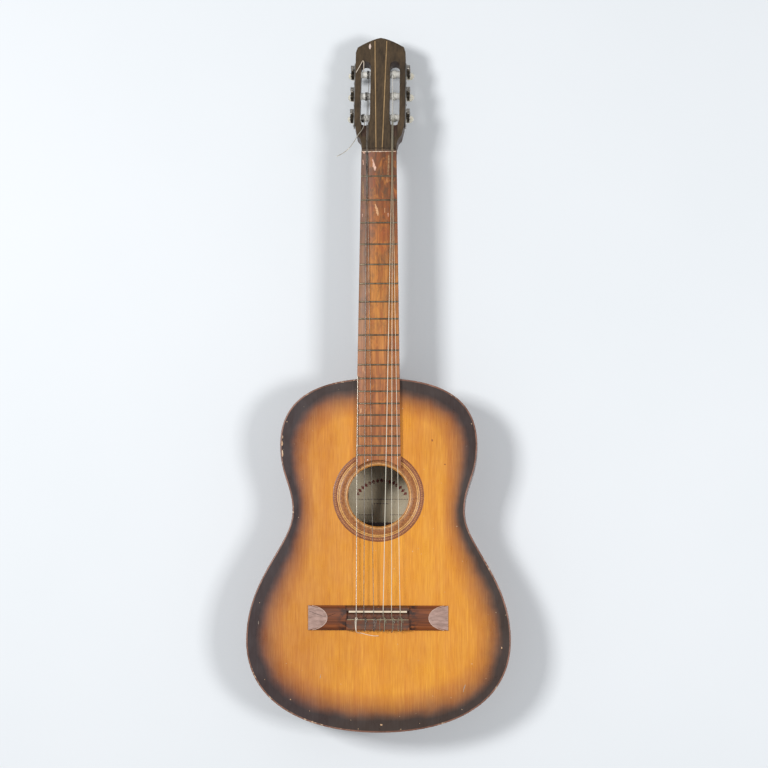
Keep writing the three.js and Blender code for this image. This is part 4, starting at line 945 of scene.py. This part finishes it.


# ---- Wear: chips and scuffs, the empty nut seat, the crack, and the loose ends of strings, with painted highlights along the bridge's facet edges and the tie block's front edge

def chips(name, marks, look, level, slot, body="body"):
    """Shallow ragged chips: (x, station, half width, half length) of each, with a torn rim."""
    parts = []
    for x, station, wide, long in marks:
        count = 13
        rings = []
        for grow, rise in ((1.0, 0.02), (0.72, 0.07), (0.3, 0.03)):
            ring = []
            for i in range(count):
                a = math.tau * i / count
                reach = grow * (0.6 + 0.7 * rng.random())
                ring.append(at(x + wide * reach * math.cos(a), station + long * reach * math.sin(a),
                               level + rise))
            rings.append(ring)
        parts.append(skin(rings))
    return piece(name, *joined(parts), look, body, slot, sharp=70)


def patches(name, spines, look, level, slot):
    """Long ragged bare places: each runs through its (x, station, half width) points."""
    parts = []
    for spine in spines:
        rows = []
        left_share, right_share = 0.5, 0.5
        for (x0, s0, w0), (x1, s1, w1) in zip(spine, spine[1:]):
            steps = max(3, int(math.hypot(x1 - x0, s1 - s0) / 0.8))
            for i in range(steps):
                share = i / steps
                x, s = x0 + (x1 - x0) * share, s0 + (s1 - s0) * share
                wide = w0 + (w1 - w0) * share
                left_share = 0.55 * left_share + 0.45 * rng.random()
                right_share = 0.55 * right_share + 0.45 * rng.random()
                left, right = wide * (0.3 + 1.3 * left_share), wide * (0.3 + 1.3 * right_share)
                rows.append([at(x - left, s, level + 0.02), at(x - left * 0.6, s, level + 0.06),
                             at(x + right * 0.6, s, level + 0.06), at(x + right, s, level + 0.02)])
        parts.append(skin(rows))
    return piece(name, *joined(parts), look, slot=slot, sharp=70)


TOP_CHIPS = [(-129.6, 385.6, 0.8, 0.9), (-122.3, 774.5, 0.8, 0.8), (-95.6, 790.2, 0.6, 0.6),
             (-158.7, 746.8, 0.5, 0.6), (-102.8, 801.0, 0.6, 0.5), (-91.6, 804.4, 0.8, 0.4),
             (-67.4, 812.6, 0.8, 0.4), (-37.8, 802.4, 0.4, 0.4), (-27.3, 814.6, 0.9, 0.5),
             (4.9, 808.8, 1.7, 1.3), (31.8, 814.6, 0.9, 0.5), (117.1, 787.2, 0.6, 0.6),
             (172.5, 701.6, 0.9, 1.3), (101.8, 771.0, 0.5, 0.6), (33.8, 366.9, 0.6, 0.5),
             (-166.5, 640.0, 0.4, 0.6), (-112.4, 520.5, 0.3, 0.7), (150.4, 744.0, 0.4, 0.5),
             (58.3, 806.5, 0.5, 0.4)]
chips("top_chips", TOP_CHIPS, CHIP, FACE, "top_wood")
patches("edge_wear", [[(-136.2, 412.5, 0.5), (-136.4, 417, 1.2), (-136.3, 420.5, 0.5)],
                      [(-136.0, 425.5, 0.4), (-135.8, 429, 1.0), (-135.5, 433, 0.8), (-135.2, 436, 0.3)],
                      [(-135.4, 405, 0.2), (-135.6, 408, 0.5), (-135.7, 410, 0.2)]], CHIP, FACE, "top_wood")
patches("top_scratches", [[(121.8, 752.5, 0.2), (120.2, 757, 0.7), (119.2, 761, 0.4), (118.8, 764, 0.2)],
                          [(-80.2, 739.5, 0.2), (-80.8, 743.5, 0.4), (-80.7, 746, 0.1)],
                          [(122.6, 420.6, 0.4), (126.8, 419.8, 0.4)],
                          [(-168.0, 665.5, 0.2), (-168.0, 671, 0.3)]], SCUFF, FACE, "top_wood")
chips("top_knots", [(75.7, 412.1, 1.1, 1.5), (93.6, 445.9, 1.0, 1.1), (18.8, 680.6, 1.2, 0.9)], KNOT,
      FACE, "top_wood")
patches("board_pink", [[(-9.3, 12.0, 0.8), (-7.7, 16.8, 1.5), (-6.3, 22.3, 2.0), (-5.3, 29.4, 0.6)],
                       [(-21.4, 1.2, 1.2), (-21.0, 4.8, 0.5)], [(-22.8, 13.0, 0.6), (-22.0, 20.6, 0.4)],
                       [(13.1, 89.5, 0.5), (13.6, 96.0, 0.3)], [(-23.3, 90.5, 0.4), (-23.2, 96, 0.3)]],
        CHIP_PINK, BOARD_TOP, "fingerboard_wood")
patches("board_tan", [[(-5.1, 76.6, 0.8), (-3.7, 81.9, 1.8), (-2.1, 87.3, 1.6), (-1.2, 94.2, 0.6)],
                      [(8.4, 82, 0.3), (8.5, 90, 0.3)],
                      [(-24.4, 366, 0.3), (-24.6, 371.1, 0.8), (-24.7, 375, 0.3)]],
        CHIP_TAN, BOARD_TOP, "fingerboard_wood")
patches("board_dull", [[(14.2, 6.0, 0.7), (13.6, 18, 1.2), (13.2, 30, 1.0), (13.0, 38, 0.4)],
                       [(-22.6, 44, 0.5), (-22.4, 60, 1.0), (-22.5, 72, 0.4)]],
        BOARD_DULL, BOARD_TOP, "fingerboard_wood")
chips("board_spots", [(-15.0, 440.0, 1.1, 1.0), (-15.0, 1.2, 1.1, 0.9)], CHIP_PALE, BOARD_TOP,
      "fingerboard_wood")


def head_chip():
    ring = []
    for grow, rise in ((1.0, 0.02), (0.6, 0.09)):
        ring.append([on_head(-15.7 + 1.7 * grow * math.cos(a) * (0.8 + 0.3 * rng.random()),
                             163.5 + 4.4 * grow * math.sin(a) * (0.85 + 0.25 * rng.random()), 1.6 + rise)
                     for a in (math.tau * i / 15 for i in range(15))])
    piece("head_chip", *skin(ring), CHIP_PALE, slot="head_face", sharp=70)


def ragged_line(name, half, middle, widths, bounds, level, rise, look, slot):
    """A torn strip across the neck, whose width wanders between two widths."""
    rows = []
    wide = sum(widths) / 2
    for i in range(81):
        x = half * (i / 40 - 1)
        wide = min(widths[1], max(widths[0], wide + (rng.random() - 0.5) * 0.9))
        spot = middle + 0.5 * (rng.random() - 0.5)
        high = level + rise * (0.4 + 0.6 * rng.random())
        near, far = max(bounds[0], spot - wide / 2), min(bounds[1], spot + wide / 2)
        rows.append([at(x, near, level + 0.02), at(x, near + 0.15, high), at(x, far - 0.15, high),
                     at(x, far, level + 0.02)])
    piece(name, *skin(rows), look, slot=slot, sharp=75)


def bridge_top(x, station):
    share = (station - BRIDGE_FRONT) / BRIDGE_RUN
    arch = WING_EDGE + (WING_HIGH - WING_EDGE) * math.sqrt(max(0, 1 - (2 * share - 1) ** 2))
    slope = WING_EDGE + (BRIDGE_HALF - abs(x)) * (WING_HIGH - WING_EDGE) / FACET_RUN
    return BOARD_LOW + min(arch, slope)


def facet_rim(side):
    """A painted highlight: the bright line where a facet meets the rounded wing, drawn as a thin pale tube."""
    line = []
    for i in range(41):
        station = BRIDGE_FRONT + BRIDGE_RUN * (0.012 + 0.976 * i / 40)
        share = (station - BRIDGE_FRONT) / BRIDGE_RUN
        rise = math.sqrt(max(0, 1 - (2 * share - 1) ** 2))
        x = BRIDGE_HALF - FACET_RUN * rise
        line.append(at(side * min(x, BRIDGE_HALF - 0.3), station, bridge_top(x, station) - 0.05))
    return line


def crack_line(points):
    line = []
    for (x0, s0), (x1, s1) in zip(points, points[1:]):
        for i in range(12):
            x, s = x0 + (x1 - x0) * i / 12, s0 + (s1 - s0) * i / 12
            line.append(at(x, s + 0.5 * rng.random(), bridge_top(x, s) - 0.1))
    return line


head_chip()
seat = [[at(x, s, z) for s, z in ((-4.3, FACE), (-4.3, FACE + 0.5), (-0.15, FACE + 0.5), (-0.15, FACE))]
        for x in (-24.7, 24.7)]
piece("seat_veneer", *skin(seat), HEAD_FACE, slot="head_face")
strips = [skin([[at(x, s, z) for s, z in ((-4.3, FACE + 0.4), (-4.3, FACE + 0.56), (-0.15, FACE + 0.56),
                                         (-0.15, FACE + 0.4))] for x in (side * 4.55 - 0.65, side * 4.55 + 0.65)])
          for side in (-1, 1)]
piece("seat_inlay", *joined(strips), INLAY, slot="rosette_tan")
ragged_line("nut_glue", 23.8, -2.6, (0.3, 1.0), (-4, -0.3), FACE + 0.5, 0.25, OLD_GLUE, "neck_wood")
ragged_line("nut_edge", 24.4, 0.9, (0.7, 1.5), (0.4, 2.2), BOARD_TOP, 0.09, GLUE, "fingerboard_wood")
# Painted highlight: pale tubes along both facet edges stand in for the bright line of light they catch.
for name, side in (("facet_rim_treble", 1), ("facet_rim_bass", -1)):
    tube(name, facet_rim(side), 0.8, RIM_HIGHLIGHT, slot="bridge_wood", sides=6)
tube("bridge_crack", crack_line([(-96.4, 651.4), (-86, 655.4), (-76.8, 658.2), (-69.3, 658.1),
                                 (-58.6, 653.8)]), 0.5, CRACK, slot="bridge_wood", sides=6)

tie_above = BOARD_LOW + TIE_HIGH
tie_rear = BRIDGE_FRONT + BRIDGE_RUN
tie_front = BRIDGE_FRONT + TIE_FROM
# Painted highlight: a pale wavy strip along the tie block's front edge stands in for the light that edge catches.
rows = []
for i in range(61):
    x = -42.5 + 85 * i / 60
    rows.append([at(x, tie_front + 0.25 + 0.3 * rng.random(), tie_above + 0.02),
                 at(x, tie_front + 0.5, tie_above + 0.18), at(x, tie_front + 1.2, tie_above + 0.18),
                 at(x, tie_front + 1.4 + 0.5 * rng.random(), tie_above + 0.02)])
piece("tie_block_edge", *skin(rows), TIE_HIGHLIGHT, slot="bridge_wood", sharp=70)
wide = STRING_WIDE[5]
loop = [(-30.1, tie_rear - 1.2, hole_level), (-30.1, tie_rear + 1.1, hole_level + 0.5),
        (-30.2, tie_rear + 0.7, tie_above + 0.3), (-30.3, tie_rear - 3, tie_above + wide * 0.7),
        (-30.4, tie_front + 1, tie_above + wide * 0.7), (-30.9, tie_front - 0.9, tie_above + 0.3),
        (-31.7, tie_front - 1.1, tie_above - 1.5), (-30.8, tie_front - 1.6, tie_above - 2.4),
        (-29.1, tie_front - 1.2, tie_above - 1.4), (-28.7, tie_front - 0.4, tie_above + 0.9),
        (-29.6, tie_front + 1.2, tie_above + wide * 1.5), (-31.2, tie_front + 1.6, tie_above + wide * 1.6),
        (-31.6, tie_front + 2.6, tie_above + wide * 0.8), (-30.9, tie_rear - 2, tie_above + wide * 0.8),
        (-30.2, tie_rear + 1.6, tie_above - 1.4), (-28, tie_rear + 3.4, FACE + 2.4),
        (-23.5, 681.9, FACE + 1.0), (-16.5, 683.8, FACE + 0.7), (-9.5, 685.2, FACE + 0.9),
        (-4, 685.8, FACE + 1.2), (0.2, 685.6, FACE + 1.6)]
tube("string_6_knot", smooth_route([at(*p) for p in loop], 0.0006), 0.9, PALE_TAIL, slot="nylon_string")
for index, (x, sway) in enumerate(((3.7, 0.9), (29.0, 0.8), (-5.8, 0.5))):
    strand = [(x, tie_rear + 0.9, hole_level + 1.0), (x - 0.4, tie_rear + 0.5, tie_above + 0.4),
              (x - sway, tie_rear - 5, tie_above + 0.5), (x - sway * 0.6, tie_front + 2, tie_above + 0.5),
              (x + 0.2, tie_front - 1.1, tie_above - 0.8), (x + 0.9, tie_front - 1.5, tie_above - 2.6)]
    tube(f"tie_strand_{index + 1}", smooth_route([at(*p) for p in strand], 0.0006), 0.6,
         NYLON if x > 0 else WOUND, slot="nylon_string" if x > 0 else "wound_string")
for index in range(5):
    x = AT_SADDLE[index]
    end = [(x + 1.5, tie_front - 2.1, tie_above - 3.2), (x + 2.4, tie_front - 1.2, tie_above - 1.5),
           (x + 3.4, tie_front + 1.5, tie_above + 0.9), (x + 4.2, tie_front + 5.5, tie_above + 1.1)]
    tube(f"string_end_{index + 1}", smooth_route([at(*p) for p in end], 0.0006), STRING_WIDE[index] * 0.8,
         NYLON if index < 3 else WOUND, slot="nylon_string" if index < 3 else "wound_string")


def stub_turns():
    wrap = ROLLER_RADIUS + STRING_WIDE[5] / 2 + 0.25
    line = [on_head(-22.65 - 1.13 * turn, 52.5 + wrap * math.sin(a), -ROLLER_DEPTH + wrap * math.cos(a))
            for turn, a in ((3 * k / 84, 0.6 + math.tau * 3 * k / 84) for k in range(85))]
    tube("winding_4", line, STRING_WIDE[5], WOUND, body="spool_4", slot="wound_string")
    tail = [(-24.5, 128.1, -8.0), (-24.6, 128.6, -4.6), (-24.3, 132.5, -0.8), (-24.4, 138.6, 2.3),
            (-25.4, 139.4, 3.0), (-29.5, 131.5, 3.1), (-34.8, 121.0, 2.7)]
    tube("string_tail", smooth_route([on_head(*p) for p in tail], 0.0008), 0.95, PALE_TAIL, slot="nylon_string")


stub_turns()

# ---- Finishes of the solids that stay in view

KEPT = {"headstock": HEAD_CORE, "heel_cap": NECK, "head_veneer": HEAD_FACE,
        "head_inlay_treble": INLAY, "head_inlay_bass": INLAY, "bridge": BRIDGE, "saddle": SADDLE,
        "tuner_plate_treble": PLATE_STEEL, "tuner_plate_bass": PLATE_STEEL}
for name in ("top_lining_treble", "top_lining_bass", "back_lining_treble", "back_lining_bass",
             "neck_block", "tail_block"):
    KEPT[name] = INNER
for name in ("top_bar_upper", "top_bar_lower"):
    KEPT[name] = BARS
for number in range(1, 7):
    KEPT[f"gear_{number}"] = DARK_GEAR
    KEPT[f"worm_shaft_{number}"] = SHAFT_STEEL
for name, look in KEPT.items():
    for place in nodes[name].material_slots:
        place.material = look


# ---- Floor and light

floor = bpy.data.objects.new("floor", bpy.data.meshes.new("floor"))
floor.data.from_pydata([(-6, -6, -0.0003), (6, -6, -0.0003), (6, 6, -0.0003), (-6, 6, -0.0003)], [],
                       [(0, 1, 2, 3)])
floor.data.materials.append(floor_look())
bpy.context.scene.collection.objects.link(floor)

world = bpy.data.worlds.new("studio")
world.use_nodes = True
world.node_tree.nodes["Background"].inputs["Color"].default_value = (0.93, 0.96, 1, 1)
world.node_tree.nodes["Background"].inputs["Strength"].default_value = 0.34
bpy.context.scene.world = world
bpy.context.scene.view_settings.view_transform = "Standard"


def softbox(name, place, target, size, power):
    light = bpy.data.lights.new(name, "AREA")
    light.shape = "RECTANGLE"
    light.size, light.size_y = size
    light.energy = power
    lamp = bpy.data.objects.new(name, light)
    lamp.location = place
    lamp.rotation_euler = (Vector(target) - Vector(place)).to_track_quat("-Z", "Y").to_euler()
    bpy.context.scene.collection.objects.link(lamp)


softbox("left_light", (-1.5, 0.38, 2.6), (0, 0, 0), (0.65, 0.65), 48)
softbox("right_light", (1.65, -0.35, 2.6), (0, 0, 0), (0.65, 0.65), 34)
